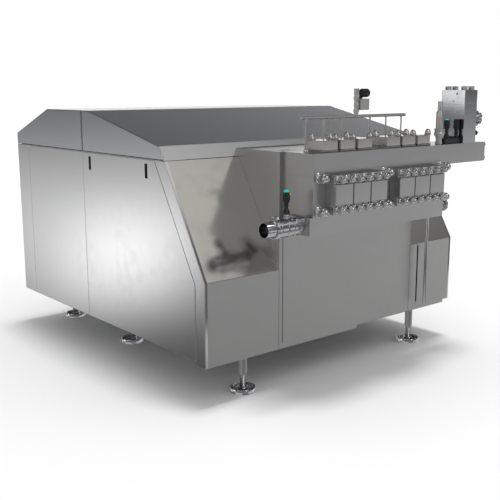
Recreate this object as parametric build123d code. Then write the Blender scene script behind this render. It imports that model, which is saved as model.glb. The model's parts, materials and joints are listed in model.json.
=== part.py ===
from build123d import *
import math
import os

# Industrial high-pressure homogenizer in a stainless-steel cabinet.
# Working frame while modelling: X runs along the front from the left face, Y runs back from the
# lower front panels, Z is up from the floor. The whole model is centred on the floor at the end.
# All lengths are in millimetres.

# Cabinet
cabinet_width = 2800.0
cabinet_depth = 3000.0
skirt_height = 300.0          # clearance under the front-left lip and the corner posts
skirt_step = 26.0             # the other panels end this much higher
knee_height = 928.0           # where the front starts to lean back
slant_angle = 30.0            # degrees from the vertical
eave_seam_height = 1750.0
eave_fascia = 104.0           # from the seam under the roof to the eave
roof_rise = 235.0             # from the eave to the ridge
ridge_front = 1580.0
ridge_back = 2338.0
roof_split = 1700.0
sheet = 3.0
fold = 22.0                   # depth of the folded panel edges
seam = 4.0                    # visible gap between panels
knee_gap = 1.0                # between a lower front panel and the leaning one above it
front_post_width = 112.0
rear_post_width = 243.0
handle_spacing = 864.0
handle_width = 30.0
handle_height = 112.0
handle_drop = 87.0            # from the seam under the roof to the middle of a handle slot
vent_offset = 560.0           # from the middle of the rear panel to a field of cooling slots
vent_length = 420.0
vent_height = 12.0
vent_pitch = 40.0
vent_rows = 8
vent_drop = 200.0

# Housing in the middle of the front
housing_left = 694.0
housing_right = 2225.0
housing_step = 880.0          # from the left edge to the step in the bottom edge
housing_joint_rise = 45.0     # bottom end of the upright joint near the left edge
louvre_count = 6
louvre_length = 130.0
louvre_width = 9.0
louvre_pitch = 28.0
louvre_setback = 20.0

# Frame
rail = 80.0                   # square tube of the base
post_tube = 60.0              # square tube of the uprights and the top ring
cross_tube = 80.0
leg_tube = 80.0               # pedestal legs under the power end
leg_back_y = 980.0
tube_wall = 5.0
rail_rise = 6.0               # underside of the rails above the front-left lip
frame_setback = 10.0          # front uprights behind the eave
foot_inset_x = 427.0
foot_front_y = 108.0
foot_middle_y = 1710.0
foot_rear_y = 2806.0
foot_stem_radius = 25.0
foot_sleeve_radius = 33.0
foot_sleeve_length = 160.0
foot_pad_radius = 98.0
foot_pad_height = 38.0
foot_pad_floor = 8.0
foot_pad_wall = 10.0
foot_thread_depth = 60.0

# Pump block and cylinders
block_left = 727.0
block_depth = 322.0
block_drop = 295.0            # from the plunger axes to the underside of the block
block_rise = 133.0            # from the plunger axes to the header
header_thickness = 161.0
header_right = 2780.0
cylinder_pitch = 186.0
cylinders_per_group = 3
group_spacing = 694.0
plunger_drop = 233.0           # from the seam under the roof to the plunger axes
plunger_radius = 40.0
running_fit = 0.06
seat_gap = 0.3                # between a moving piece and the face it rests against
gallery_y = -200.0
gallery_drop = 227.0          # from the plunger axes to the suction gallery
gallery_radius = 52.5
header_gallery_radius = 30.0
valve_bore_radius = 35.0
valve_port_radius = 24.0
inlet_seat_rise = 57.5        # from the top of the suction gallery to the inlet seats
outlet_seat_rise = 95.0       # from the plunger axes to the outlet seats
poppet_thickness = 12.0
poppet_stem_radius = 8.0
poppet_stem_length = 30.0
poppet_clearance = 3.0
spigot_depth = 40.0
spigot_margin = 33.0
spigot_clearance = 2.0

# Front covers and their cap nuts
cover_depth = 103.0
cover_height = 286.0
cover_gap = 8.0
cover_ledge = 24.0
cover_middle = 150.0
cover_nut_radius = 24.0
cover_nut_length = 88.0
cover_nut_offset = 46.5
cover_nut_rise = 108.0
stud_nut_radius = 36.0
stud_nut_length = 100.0
stud_washer_radius = 40.0
stud_washer_thickness = 14.0
stud_rise = 122.0

# Top covers
top_cover_setback = 39.0      # behind the front of the block
top_cover_depth = 170.0
top_cover_height = 70.0
top_plinth_height = 15.0
top_plinth_inset = 8.0
top_cover_gap = 3.0
top_chamfer = 28.0
top_nut_radius = 21.0
top_nut_length = 42.0
top_nut_side = 32.0
top_nut_front = 24.0

# Tap line over the top covers
tap_line_y = -98.0
tap_line_rise = 243.0          # from the header to the axis of the tap line
tap_line_radius = 12.0
tap_tube_radius = 6.0
tap_tube_side = 8.0
tap_line_overhang = 45.0
tap_valve_x = 1392.0
tap_valve_radius = 19.0
tap_valve_length = 197.0
tap_block_width = 100.0
tap_block_height = 86.0
tap_block_depth = 60.0
tap_block_rise = 34.0
tap_block_overlap = 4.0       # how deep the block sits in the round body
tap_collar_count = 4
tap_collar_height = 8.0
tap_collar_rim = 3.0
knob_radius = 33.0
knob_length = 78.0
knob_neck = 30.0
knob_neck_radius = 9.0
knob_tip = 18.0
knob_rise = 163.0

# Pulsation damper
damper_x = 2213.0
damper_y = -262.0
damper_base_radius = 30.0
damper_flange_radius = 42.0
damper_body_radius = 29.0
damper_cap_radius = 19.0
damper_base_height = 69.0
damper_flange_height = 60.0
damper_body_height = 140.0
damper_cap_height = 80.0

# Homogenizing valve tower
tower_left = 2461.0
tower_width = 172.0
tower_depth = 237.0
tower_body_height = 318.0
tower_head_height = 120.0
tower_bore_radius = 36.0
tower_bolt_radius = 24.0
tower_bolt_height = 29.0
tower_bolt_inset = 38.0
header_bolt_inset = 25.0
header_bolt_radius = 14.0
header_bolt_height = 22.0
outlet_rise = 197.0            # from the header to the axis of the outlet
outlet_radius = 32.0
outlet_wall = 3.0
outlet_port_radius = 25.0     # drilled port in the tower behind the outlet pipe
outlet_reach = 150.0
outlet_flange_radius = 67.0
outlet_flange_thickness = 26.0
side_knob_rise = 79.0          # from the header to the axis of the knob
side_knob_y = -292.0
side_knob_radius = 21.0
side_knob_length = 32.0
side_knob_neck = 22.0
side_knob_neck_radius = 8.0
forcer_radius = 20.0
forcer_stroke = 8.0
forcer_clearance = 2.0        # left above the forcer when it is fully lifted
seat_height = 34.0
seat_bore_radius = 14.0
seat_rise = 60.0              # from the header to the seat
impact_ring_height = 16.0
impact_ring_gap = 2.0
guide_length = 40.0
head_roof = 40.0              # metal above the forcer's cylinder

# Sensor console beside the tower
console_left = 2246.0
console_gap = 3.0
console_depth = 90.0
console_height = 46.0
console_margin = 22.0
transmitter_x = 2301.0
transmitter_radius = 26.0
position_sensor_x = 2430.0
position_sensor_radius = 23.0
sensor_y = -272.0
sensor_rise = 202.0            # from the header to the top of both sensor heads
socket_offset = 50.0          # from the transmitter to the cable socket
socket_length = 35.0
socket_width = 24.0
socket_height = 16.0
position_sensor_height = 76.0
position_sensor_neck = 10.0

# Suction line
inlet_end = 369.0
inlet_wall = 3.0
inlet_ferrule_radius = 64.0
inlet_ferrule_length = 8.0
inlet_clamp_x = 468.0
inlet_clamp_radius = 74.0
inlet_clamp_width = 26.0
clamp_lug_width = 18.0
clamp_lug_length = 44.0
clamp_lug_height = 24.0
clamp_lug_sink = 6.0          # how deep the lug sits in the ring
clamp_screw_length = 74.0
clamp_screw_radius = 6.0
butterfly_x = 583.0
butterfly_width = 52.0
butterfly_radius = 68.0
butterfly_stem_radius = 8.0
butterfly_wall = 7.5
butterfly_neck_radius = 18.0
disc_radius = 52.0
disc_thickness = 8.0
strainer_left = 612.0
strainer_radius = 60.0
inlet_flange_thickness = 30.0
inlet_flange_half_height = 66.0
inlet_flange_back = -80.0
bypass_forward = 62.0         # from the axis of the suction line
bypass_rise = 50.0
bypass_radius = 16.0
butterfly_neck_length = 28.0  # from the widest ring of the valve to its control head
inlet_head_radius = 27.0
actuator_length = 172.0       # from the neck to the end of the stem
indicator_radius = 23.8
indicator_skirt = 14.0        # how far the indicator reaches down the stem
indicator_cap = 4.0
end_cap_right = 2392.0
end_cap_radius = 58.0
end_cap_thickness = 26.0
end_stub_radius = 38.0
end_ring_margin = 10.0
end_ring_thickness = 12.0

# Drain pipe in front of the right-hand panel
drain_x = 2332.0
drain_y = -90.0
drain_radius = 13.0
drain_wall = 2.0
drain_end = 400.0
groove_x = 2330.0
groove_width = 18.0
groove_top = 915.0
groove_bottom = 395.0

# Power end inside the cabinet
case_wall = 15.0
case_front_wall = 340.0       # the crossheads slide in it
stuffing_length = 80.0
case_depth = 1060.0
case_side_margin = 40.0
case_drop = 337.0             # from the plunger axes to the underside of the crankcase
case_rise = 223.0             # from the plunger axes to its top
crank_y = 640.0
crank_throw = 60.0
crank_journal_radius = 45.0
crank_pin_radius = 38.0
crank_pin_length = 62.0
web_radius = 110.0
web_thickness = 18.0
crosshead_radius = 62.0
crosshead_front = 200.0
crosshead_length = 110.0
rod_radius = 26.0
rod_length = 145.0
plunger_tip = -140.0
gear_module = 6.0
gear_teeth = 64
pinion_teeth = 16
gear_width = 100.0
gear_backlash = 1.2
pinion_overhang = 5.0         # how far the pinion is wider than the gear on each side
pinion_shaft_radius = 30.0
large_pulley_radius = 230.0
small_pulley_radius = 115.0
pulley_width = 150.0
belt_count = 5
belt_thickness = 12.0
belt_gap = 0.5
belt_share = 0.7              # belt width as a share of the belt pitch
pulley_gap = 30.0

# Main motor and oil unit
motor_y = 2150.0
motor_radius = 300.0
motor_length = 900.0
motor_bore_radius = 190.0
rotor_radius = 180.0
motor_shaft_radius = 40.0
motor_end_wall = 30.0
motor_lift = 20.0             # housing above the rails
motor_foot_inset = 60.0
motor_foot_drop = 150.0       # top of the feet below the shaft
motor_foot_inner = 150.0      # inner side of the feet from the shaft
rotor_end_gap = 10.0
motor_foot_spread = 520.0
oil_unit_size = 520.0
oil_unit_height = 380.0
oil_pump_radius = 90.0
oil_pump_length = 300.0


def slant_y(height):
    """Depth of the leaning front at a height above the knee."""
    return max(0.0, (height - knee_height) * math.tan(math.radians(slant_angle)))


def slab(x0, x1, y0, y1, z0, z1):
    """Rectangular solid between two corners."""
    return Pos((x0 + x1) / 2, (y0 + y1) / 2, (z0 + z1) / 2) * Box(x1 - x0, y1 - y0, z1 - z0)


def bar_x(x0, x1, y, z, radius):
    """Round bar along X."""
    return Pos((x0 + x1) / 2, y, z) * Rot(0, 90, 0) * Cylinder(radius, x1 - x0)


def bar_y(y0, y1, x, z, radius):
    """Round bar along Y."""
    return Pos(x, (y0 + y1) / 2, z) * Rot(90, 0, 0) * Cylinder(radius, y1 - y0)


def bar_z(z0, z1, x, y, radius):
    """Round bar along Z."""
    return Pos(x, y, (z0 + z1) / 2) * Cylinder(radius, z1 - z0)


def profile_x(points, x0, x1):
    """Outline of (y, z) points carried along X."""
    face = Plane.YZ * make_face(Polyline(*points, close=True))
    return Pos(x0, 0, 0) * extrude(face, x1 - x0, dir=(1, 0, 0))


def hexagon_y(y0, y1, x, z, radius):
    """Hexagonal bar along Y."""
    plane = Plane(origin=(x, y0, z), x_dir=(1, 0, 0), z_dir=(0, 1, 0))
    return extrude(plane * RegularPolygon(radius, 6), y1 - y0)


def hexagon_z(z0, z1, x, y, radius):
    """Hexagonal bar along Z."""
    return extrude(Pos(x, y, z0) * RegularPolygon(radius, 6), z1 - z0)


def acorn_front(x, z, base_y, radius, length):
    """Cap nut on a stud that points to the front: a hexagon with a domed end."""
    dome_centre = base_y - length + radius * 0.86
    hexagon = hexagon_y(dome_centre, base_y, x, z, radius)
    return hexagon + Pos(x, dome_centre, z) * Sphere(radius * 0.86)


def acorn_top(x, y, base_z, radius, length):
    """Cap nut on a stud that points up."""
    dome_centre = base_z + length - radius * 0.86
    hexagon = hexagon_z(base_z, dome_centre, x, y, radius)
    return hexagon + Pos(x, y, dome_centre) * Sphere(radius * 0.86)


def pan(outline, plane, depth):
    """Sheet-metal panel: an outline folded back along its edges, open at the back."""
    face = make_face(Polyline(*outline, close=True))
    outer = extrude(plane * face, depth)
    inner = extrude(plane.offset(sheet) * offset(face, -sheet), depth)
    return outer - inner


def gear(x0, x1, y, z, teeth, bore_turn):
    """Spur gear along X with straight-sided teeth."""
    pitch_radius = gear_module * teeth / 2
    root_radius = pitch_radius - 1.25 * gear_module
    tip_radius = pitch_radius + gear_module
    step = 2 * math.pi / teeth
    half = math.pi * gear_module / 4 - gear_backlash / 2
    points = []
    for tooth in range(teeth):
        middle = tooth * step + bore_turn * step
        for radius, width in ((root_radius, 1.5), (tip_radius, 0.5)):
            angle = middle - half * width / radius
            points.append((y + radius * math.cos(angle), z + radius * math.sin(angle)))
        for radius, width in ((tip_radius, 0.5), (root_radius, 1.5)):
            angle = middle + half * width / radius
            points.append((y + radius * math.cos(angle), z + radius * math.sin(angle)))
    return profile_x(points, x0, x1)


def ring_x(x0, x1, y, z, outer, inner):
    """Round tube along X."""
    return bar_x(x0, x1, y, z, outer) - bar_x(x0 - 1, x1 + 1, y, z, inner)


def ring_z(z0, z1, x, y, outer, inner):
    """Round tube along Z."""
    return bar_z(z0, z1, x, y, outer) - bar_z(z0 - 1, z1 + 1, x, y, inner)


# Places worked out from the driving sizes
block_right = housing_right
block_middle = (block_left + block_right) / 2
group_centres = [block_middle - group_spacing / 2, block_middle + group_spacing / 2]
cylinder_xs = [
    centre + (index - (cylinders_per_group - 1) / 2) * cylinder_pitch
    for centre in group_centres
    for index in range(cylinders_per_group)
]
stud_xs = [block_middle - group_spacing, block_middle, block_middle + group_spacing]
panel_bottom = skirt_height + skirt_step
side_panel_back = roof_split - seam / 2
rear_panel_front = roof_split + seam / 2
rear_panel_back = cabinet_depth - rear_post_width
ring_top = eave_seam_height + seam / 2
eave_height = eave_seam_height + eave_fascia
ridge_height = eave_height + roof_rise
eave_y = slant_y(eave_height)
plunger_height = eave_seam_height - plunger_drop
block_bottom = plunger_height - block_drop
header_bottom = plunger_height + block_rise
header_top = header_bottom + header_thickness
housing_top = header_top
gallery_height = plunger_height - gallery_drop
inlet_seat_height = gallery_height + gallery_radius + inlet_seat_rise
outlet_seat_height = plunger_height + outlet_seat_rise
actuator_base_height = gallery_height + butterfly_radius + butterfly_neck_length
actuator_top = actuator_base_height + actuator_length
inlet_flange_bottom = gallery_height - inlet_flange_half_height
inlet_flange_top = gallery_height + inlet_flange_half_height
tap_line_height = header_top + tap_line_rise
tower_seam_height = header_top + tower_body_height
tower_top = tower_seam_height + tower_head_height
outlet_height = header_top + outlet_rise
side_knob_height = header_top + side_knob_rise
sensor_top = header_top + sensor_rise
top_cover_front = -block_depth + top_cover_setback
top_cover_back = top_cover_front + top_cover_depth
top_cover_top = header_top + top_plinth_height + top_cover_height
tower_right = tower_left + tower_width
tower_front = -block_depth
tower_back = tower_front + tower_depth
tower_middle_x = tower_left + tower_width / 2
case_left = housing_left + sheet + case_side_margin
case_right = housing_right - sheet - case_side_margin
case_front = spigot_depth
case_back = case_front + case_depth
case_bottom = plunger_height - case_drop
case_top = plunger_height + case_rise
gear_centre_distance = gear_module * (gear_teeth + pinion_teeth) / 2
pinion_y = crank_y + gear_centre_distance
pulley_left = case_right + pulley_gap
foot_places = [
    (x, y)
    for x in (foot_inset_x, cabinet_width - foot_inset_x)
    for y in (foot_front_y, foot_middle_y, foot_rear_y)
]
rail_bottom = skirt_height + rail_rise
rail_top = rail_bottom + rail

frame_front = foot_front_y - rail / 2
frame_back = foot_rear_y + rail / 2
rail_left = foot_inset_x - rail / 2
rail_right = cabinet_width - foot_inset_x - rail / 2
upright_x = fold
upright_front_y = eave_y + frame_setback
upright_rear_y = cabinet_depth - fold - post_tube
motor_height = rail_top + motor_lift + motor_radius
motor_right = pulley_left - pulley_gap
motor_left = motor_right - motor_length
poppet_radius = valve_bore_radius - poppet_clearance
bypass_y = gallery_y - bypass_forward
bypass_z = gallery_height + bypass_rise
console_right = tower_left - console_gap
knob_height = tap_line_height + tap_line_radius + knob_rise
spigot_left = block_left + spigot_margin
spigot_right = block_right - spigot_margin
spigot_bottom = block_bottom + spigot_margin
spigot_top = header_bottom - spigot_margin
valve_y = gallery_y
header_gallery_z = (header_bottom + header_top) / 2
valve_seat_z = header_top + seat_rise
valve_bore_top = tower_seam_height - guide_length
forcer_top = tower_top - head_roof
pinion_mesh_turn = (pinion_teeth + 1) % 2 / 2   # half a tooth turn where both gears would show a tooth
guide_start = case_front + stuffing_length


def square_tube(x0, x1, y0, y1, z0, z1, along):
    """Hollow square tube; along is the index of its long axis."""
    inner = [[x0, x1], [y0, y1], [z0, z1]]
    for axis in range(3):
        grow = -1.0 if axis == along else tube_wall
        inner[axis] = [inner[axis][0] + grow, inner[axis][1] - grow]
    return slab(x0, x1, y0, y1, z0, z1) - slab(*inner[0], *inner[1], *inner[2])


def mirrored(shape):
    """The same shape on the other side of the cabinet."""
    return mirror(shape, about=Plane.YZ.offset(cabinet_width / 2))


def build_frame():
    """Base rails, cross members, uprights, top ring, pedestal legs and threaded foot sleeves."""
    solids = []
    for x0 in (rail_left, rail_right):
        solids.append(square_tube(x0, x0 + rail, frame_front, frame_back, rail_bottom, rail_top, 1))
    cross_bottom = rail_top - cross_tube
    motor_feet = [motor_y - motor_foot_spread / 2, motor_y + motor_foot_spread / 2]
    for y in [foot_front_y, leg_back_y, foot_middle_y, foot_rear_y] + motor_feet:
        span = (y - cross_tube / 2, y + cross_tube / 2, cross_bottom, rail_top)
        solids.append(square_tube(rail_left + rail, rail_right, *span, 0))
    upright_ys = (upright_front_y, foot_middle_y - post_tube / 2, upright_rear_y)
    for y in upright_ys:
        outrigger = (y, y + post_tube, rail_top - post_tube, rail_top)
        solids.append(square_tube(upright_x, rail_left, *outrigger, 0))
        solids.append(mirrored(square_tube(upright_x, rail_left, *outrigger, 0)))
        upright = square_tube(upright_x, upright_x + post_tube, y, y + post_tube,
                              rail_top, ring_top - post_tube, 2)
        solids.append(upright)
        solids.append(mirrored(upright))
    side_ring = square_tube(upright_x, upright_x + post_tube, upright_front_y,
                            upright_rear_y + post_tube, ring_top - post_tube, ring_top, 1)
    solids.append(side_ring)
    solids.append(mirrored(side_ring))
    ring_inner = upright_x + post_tube
    solids.append(square_tube(ring_inner, cabinet_width - ring_inner, upright_rear_y,
                              upright_rear_y + post_tube, ring_top - post_tube, ring_top, 0))
    front_ring = (upright_front_y, upright_front_y + post_tube, ring_top - post_tube, ring_top)
    solids.append(square_tube(ring_inner, housing_left - post_tube, *front_ring, 0))
    solids.append(square_tube(housing_right + post_tube, cabinet_width - ring_inner, *front_ring, 0))
    for x in (case_left, case_right - leg_tube):
        for y in (foot_front_y - leg_tube / 2, leg_back_y - leg_tube / 2):
            solids.append(square_tube(x, x + leg_tube, y, y + leg_tube, rail_top, case_bottom, 2))
    for x, y in foot_places:
        sleeve = bar_z(rail_bottom - foot_sleeve_length, rail_bottom, x, y, foot_sleeve_radius)
        solids.append(sleeve - bar_z(0, rail_bottom + 1, x, y, foot_stem_radius + running_fit))
    return solids


def build_foot(x, y):
    """Levelling foot: a round dish with a raised rim and a stem that screws into its sleeve."""
    dish = bar_z(0, foot_pad_height, x, y, foot_pad_radius)
    dish -= bar_z(foot_pad_floor, foot_pad_height + 1, x, y, foot_pad_radius - foot_pad_wall)
    stem_top = rail_bottom - foot_thread_depth / 2
    return dish + bar_z(0, stem_top, x, y, foot_stem_radius)


left_plane = Plane(origin=(0, 0, 0), x_dir=(0, 1, 0), z_dir=(1, 0, 0))
front_plane = Plane(origin=(0, 0, 0), x_dir=(1, 0, 0), z_dir=(0, 1, 0))
rear_plane = Plane(origin=(0, cabinet_depth, 0), x_dir=(-1, 0, 0), z_dir=(0, -1, 0))
post_run = front_post_width / math.cos(math.radians(slant_angle))
post_knee = knee_height - (post_run - front_post_width) / math.tan(math.radians(slant_angle))
panel_top = eave_seam_height - seam / 2


def handle_slots():
    """Two upright finger slots through a side panel."""
    middle = (post_run + slant_y(panel_top) + side_panel_back) / 2
    z = panel_top - handle_drop
    slots = []
    for side in (-1, 1):
        y = middle + side * handle_spacing / 2
        slots.append(slab(-1, sheet + 1, y - handle_width / 2, y + handle_width / 2,
                          z - handle_height / 2, z + handle_height / 2))
    return slots


def build_side_panel():
    """Lift-off side panel with its folded edges and two finger slots."""
    front = front_post_width + seam
    outline = [
        (front, panel_bottom),
        (side_panel_back, panel_bottom),
        (side_panel_back, panel_top),
        (slant_y(panel_top) + post_run + seam, panel_top),
        (front, post_knee),
    ]
    panel = pan(outline, left_plane, fold)
    for slot in handle_slots():
        panel -= slot
    return panel


def build_rear_side_panel():
    """Fixed side panel behind the lift-off one."""
    front, back = rear_panel_front, rear_panel_back - seam
    outline = [(front, panel_bottom), (back, panel_bottom), (back, panel_top), (front, panel_top)]
    return pan(outline, left_plane, fold)


def build_corner_posts():
    """Folded sheet strips at the four corners; the front ones follow the leaning front."""
    def front_post(bottom):
        top = panel_top
        outline = [
            (0, bottom),
            (front_post_width, bottom),
            (front_post_width, post_knee),
            (slant_y(top) + post_run, top),
            (slant_y(top), top),
            (0, knee_height),
        ]
        return pan(outline, left_plane, fold)

    rear = [
        (rear_panel_back, panel_bottom),
        (cabinet_depth, panel_bottom),
        (cabinet_depth, panel_top),
        (rear_panel_back, panel_top),
    ]
    rear_post = pan(rear, left_plane, fold)
    return [
        front_post(skirt_height),
        mirrored(front_post(skirt_height + 2 * skirt_step)),
        rear_post,
        mirrored(rear_post),
    ]


def front_pan(x0, x1, z0, z1):
    """Folded panel in the lower front plane."""
    return pan([(x0, -z0), (x1, -z0), (x1, -z1), (x0, -z1)], front_plane, fold)


def build_lower_front_panels():
    """Upright panels below the knee, left and right of the middle housing."""
    top = knee_height - knee_gap
    left = front_pan(fold, housing_left, skirt_height, top)
    right = front_pan(housing_right, cabinet_width - fold, panel_bottom, top)
    right -= slab(groove_x - groove_width / 2, groove_x + groove_width / 2, -1, sheet + 1,
                  groove_bottom, groove_top)
    return [left, right]


def build_slant_panels():
    """Polished leaning panels left and right of the middle housing."""
    run = sheet / math.cos(math.radians(slant_angle))
    outline = [
        (0, knee_height),
        (slant_y(panel_top), panel_top),
        (slant_y(panel_top) + run, panel_top),
        (run, knee_height),
    ]
    return [
        profile_x(outline, fold, housing_left),
        profile_x(outline, housing_right, cabinet_width - fold),
    ]


def build_housing():
    """Middle housing: front sheet with a step and two joints, side wings and a louvred top."""
    step_x = housing_left + housing_step
    front = slab(housing_left, housing_right, 0, sheet, panel_bottom, housing_top)
    front += slab(housing_left, step_x, 0, sheet, skirt_height, panel_bottom)
    front -= slab(spigot_left - spigot_clearance, spigot_right + spigot_clearance, -1, sheet + 1,
                  spigot_bottom - spigot_clearance, spigot_top + spigot_clearance)
    joint_x = block_left + seam
    front -= slab(joint_x - seam / 2, joint_x + seam, -1, sheet / 2, skirt_height + housing_joint_rise,
                  housing_top + 1)
    wing_top = housing_top - sheet
    wing = profile_x(
        [
            (sheet, knee_height + sheet / math.tan(math.radians(slant_angle))),
            (sheet, wing_top),
            (slant_y(wing_top), wing_top),
        ],
        housing_left,
        housing_left + sheet,
    )
    top = slab(housing_left, housing_right, sheet, slant_y(wing_top), wing_top, housing_top)
    for index in range(louvre_count):
        x = block_left + louvre_pitch * (index + 1)
        top -= slab(x, x + louvre_width, louvre_setback, louvre_setback + louvre_length,
                    wing_top - 1, housing_top + 1)
    wing_right = Pos(housing_right - housing_left - sheet, 0, 0) * wing
    return [front, wing, wing_right, top]


def build_rear_panel():
    """Rear panel with two fields of cooling slots."""
    left, right = fold, cabinet_width - fold
    outline = [
        (-left, -panel_bottom),
        (-right, -panel_bottom),
        (-right, -panel_top),
        (-left, -panel_top),
    ]
    panel = pan(outline, rear_plane, fold)
    for x in (cabinet_width / 2 - vent_offset, cabinet_width / 2 + vent_offset):
        for row in range(vent_rows):
            z = panel_top - vent_drop - row * vent_pitch
            panel -= slab(x - vent_length / 2, x + vent_length / 2, cabinet_depth - sheet - 1,
                          cabinet_depth + 1, z, z + vent_height)
    return panel


def roof_outline():
    """Outer outline of the roof hood, front to back."""
    return [
        (slant_y(ring_top), ring_top),
        (eave_y, eave_height),
        (ridge_front, ridge_height),
        (ridge_back, ridge_height),
        (cabinet_depth, eave_height),
        (cabinet_depth, ring_top),
    ]


def build_roof(front_y, back_y):
    """One half of the roof hood: bent top sheets, two gables and the inner lips they stand on."""
    outline = roof_outline()
    face = make_face(Polyline(*outline, close=True))
    inner_face = offset(face, -sheet)
    width = cabinet_width - 2 * sheet
    whole = Pos(sheet, 0, 0) * extrude(Plane.YZ * face, width, dir=(1, 0, 0))
    hollow = Pos(sheet - 1, 0, 0) * extrude(Plane.YZ * inner_face, width + 2, dir=(1, 0, 0))
    skin = whole - hollow
    skin -= slab(0, cabinet_width, slant_y(ring_top) + 2 * fold, cabinet_depth - 2 * fold,
                 ring_top - 1, ring_top + sheet + 1)
    solids = []
    bends = [eave_y, ridge_front, ridge_back, cabinet_depth - sheet]
    limits = [front_y] + [y for y in bends if front_y < y < back_y] + [back_y]
    for start, end in zip(limits[:-1], limits[1:]):
        piece = skin & slab(0, cabinet_width, start, end, 0, ridge_height + 1)
        solids.extend(piece.solids())
    gable = extrude(Plane.YZ * face, sheet, dir=(1, 0, 0))
    gable &= slab(-1, sheet + 1, front_y, back_y, 0, ridge_height + 1)
    lip_front = max(front_y, upright_front_y)
    lip_back = min(back_y, upright_rear_y)
    lip = slab(sheet, 2 * fold, lip_front, lip_back, ring_top, ring_top + sheet)
    gable = gable + lip
    solids.append(gable)
    solids.append(mirrored(gable))
    return solids


def build_pump_block():
    """Forged block with the suction gallery, six plunger bores and the valve bores."""
    block = slab(block_left, block_right, -block_depth, 0, block_bottom, header_bottom)
    block += slab(spigot_left, spigot_right, 0, spigot_depth, spigot_bottom, spigot_top)
    block -= bar_x(block_left - 1, block_right + 1, gallery_y, gallery_height, gallery_radius)
    for x in cylinder_xs:
        block -= bar_y(-block_depth - 1, spigot_depth + 1, x, plunger_height,
                       plunger_radius + running_fit)
        block -= bar_z(gallery_height, inlet_seat_height, x, valve_y, valve_port_radius)
        block -= bar_z(inlet_seat_height, plunger_height, x, valve_y, valve_bore_radius)
        block -= bar_z(plunger_height, outlet_seat_height, x, valve_y, valve_port_radius)
        block -= bar_z(outlet_seat_height, header_bottom + 1, x, valve_y, valve_bore_radius)
    return block


def build_header():
    """Long pressure header on top of the block, with its gallery and outlet bores."""
    header = slab(block_left, header_right, -block_depth, 0, header_bottom, header_top)
    header -= bar_x(cylinder_xs[0], tower_middle_x, valve_y, header_gallery_z, header_gallery_radius)
    for x in cylinder_xs:
        header -= bar_z(header_bottom - 1, header_top + 1, x, valve_y, valve_bore_radius)
    header -= bar_z(header_gallery_z, header_top + 1, tower_middle_x, valve_y, header_gallery_radius)
    return header


def build_poppets(seat_height):
    """Six poppets with guide stems, standing on seats at the given height."""
    rest = seat_height + seat_gap
    solids = []
    for x in cylinder_xs:
        disc = bar_z(rest, rest + poppet_thickness, x, valve_y, poppet_radius)
        solids.append(disc + bar_z(rest - poppet_stem_length, rest, x, valve_y, poppet_stem_radius))
    return solids


def build_front_covers():
    """Front covers of the plunger bores: a raised middle between two nut ledges."""
    front = -block_depth - cover_depth
    ledge = front + cover_ledge
    low, high = plunger_height - cover_height / 2, plunger_height + cover_height / 2
    step_low, step_high = plunger_height - cover_middle / 2, plunger_height + cover_middle / 2
    outline = [
        (-block_depth, low), (ledge, low), (ledge, step_low), (front, step_low),
        (front, step_high), (ledge, step_high), (ledge, high), (-block_depth, high),
    ]
    half = (cylinder_pitch - cover_gap) / 2
    return [profile_x(outline, x - half, x + half) for x in cylinder_xs]


def build_front_nuts():
    """Four cap nuts on each front cover."""
    base = -block_depth - cover_depth + cover_ledge
    return [
        acorn_front(x + side, plunger_height + rise, base, cover_nut_radius, cover_nut_length)
        for x in cylinder_xs
        for side in (-cover_nut_offset, cover_nut_offset)
        for rise in (-cover_nut_rise, cover_nut_rise)
    ]


def build_stud_nuts():
    """Large washers and cap nuts of the studs that hold the block to the power end."""
    solids = []
    for x in stud_xs:
        for rise in (-stud_rise, stud_rise):
            z = plunger_height + rise
            face = -block_depth - stud_washer_thickness
            washer = bar_y(face, -block_depth, x, z, stud_washer_radius)
            solids.append(washer + acorn_front(x, z, face, stud_nut_radius,
                                               stud_nut_length - stud_washer_thickness))
    return solids


def build_top_covers():
    """Covers over the outlet valves, each on a narrow plinth, with one corner cut away."""
    solids = []
    half = (cylinder_pitch - top_cover_gap) / 2
    inset = top_plinth_inset
    for x in cylinder_xs:
        x0, x1 = x - half, x + half
        plinth = slab(x0 + inset, x1 - inset, top_cover_front + inset, top_cover_back - inset,
                      header_top, header_top + top_plinth_height)
        outline = Polyline(
            (x0, top_cover_front), (x1 - top_chamfer, top_cover_front),
            (x1, top_cover_front + top_chamfer), (x1, top_cover_back), (x0, top_cover_back),
            close=True,
        )
        cap = Pos(0, 0, header_top + top_plinth_height) * extrude(make_face(outline), top_cover_height)
        solids.append(plinth + cap)
    return solids


def build_top_nuts():
    """Two cap nuts on each top cover, at opposite corners."""
    solids = []
    half = cylinder_pitch / 2 - top_nut_side
    for x in cylinder_xs:
        places = [(x + half, top_cover_front + top_nut_front), (x - half, top_cover_back - top_nut_front)]
        for px, py in places:
            solids.append(acorn_top(px, py, top_cover_top, top_nut_radius, top_nut_length))
    return solids


def build_tap_line():
    """Thin pipe above the covers on six upright tubes that stand on the header."""
    xs = [x - cylinder_pitch / 2 + tap_tube_side for x in cylinder_xs]
    line = bar_x(xs[0] - tap_line_overhang, xs[-1] + tap_line_overhang, tap_line_y, tap_line_height,
                 tap_line_radius)
    for x in xs:
        line += bar_z(header_top, tap_line_height, x, tap_line_y, tap_tube_radius)
    return line


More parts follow.
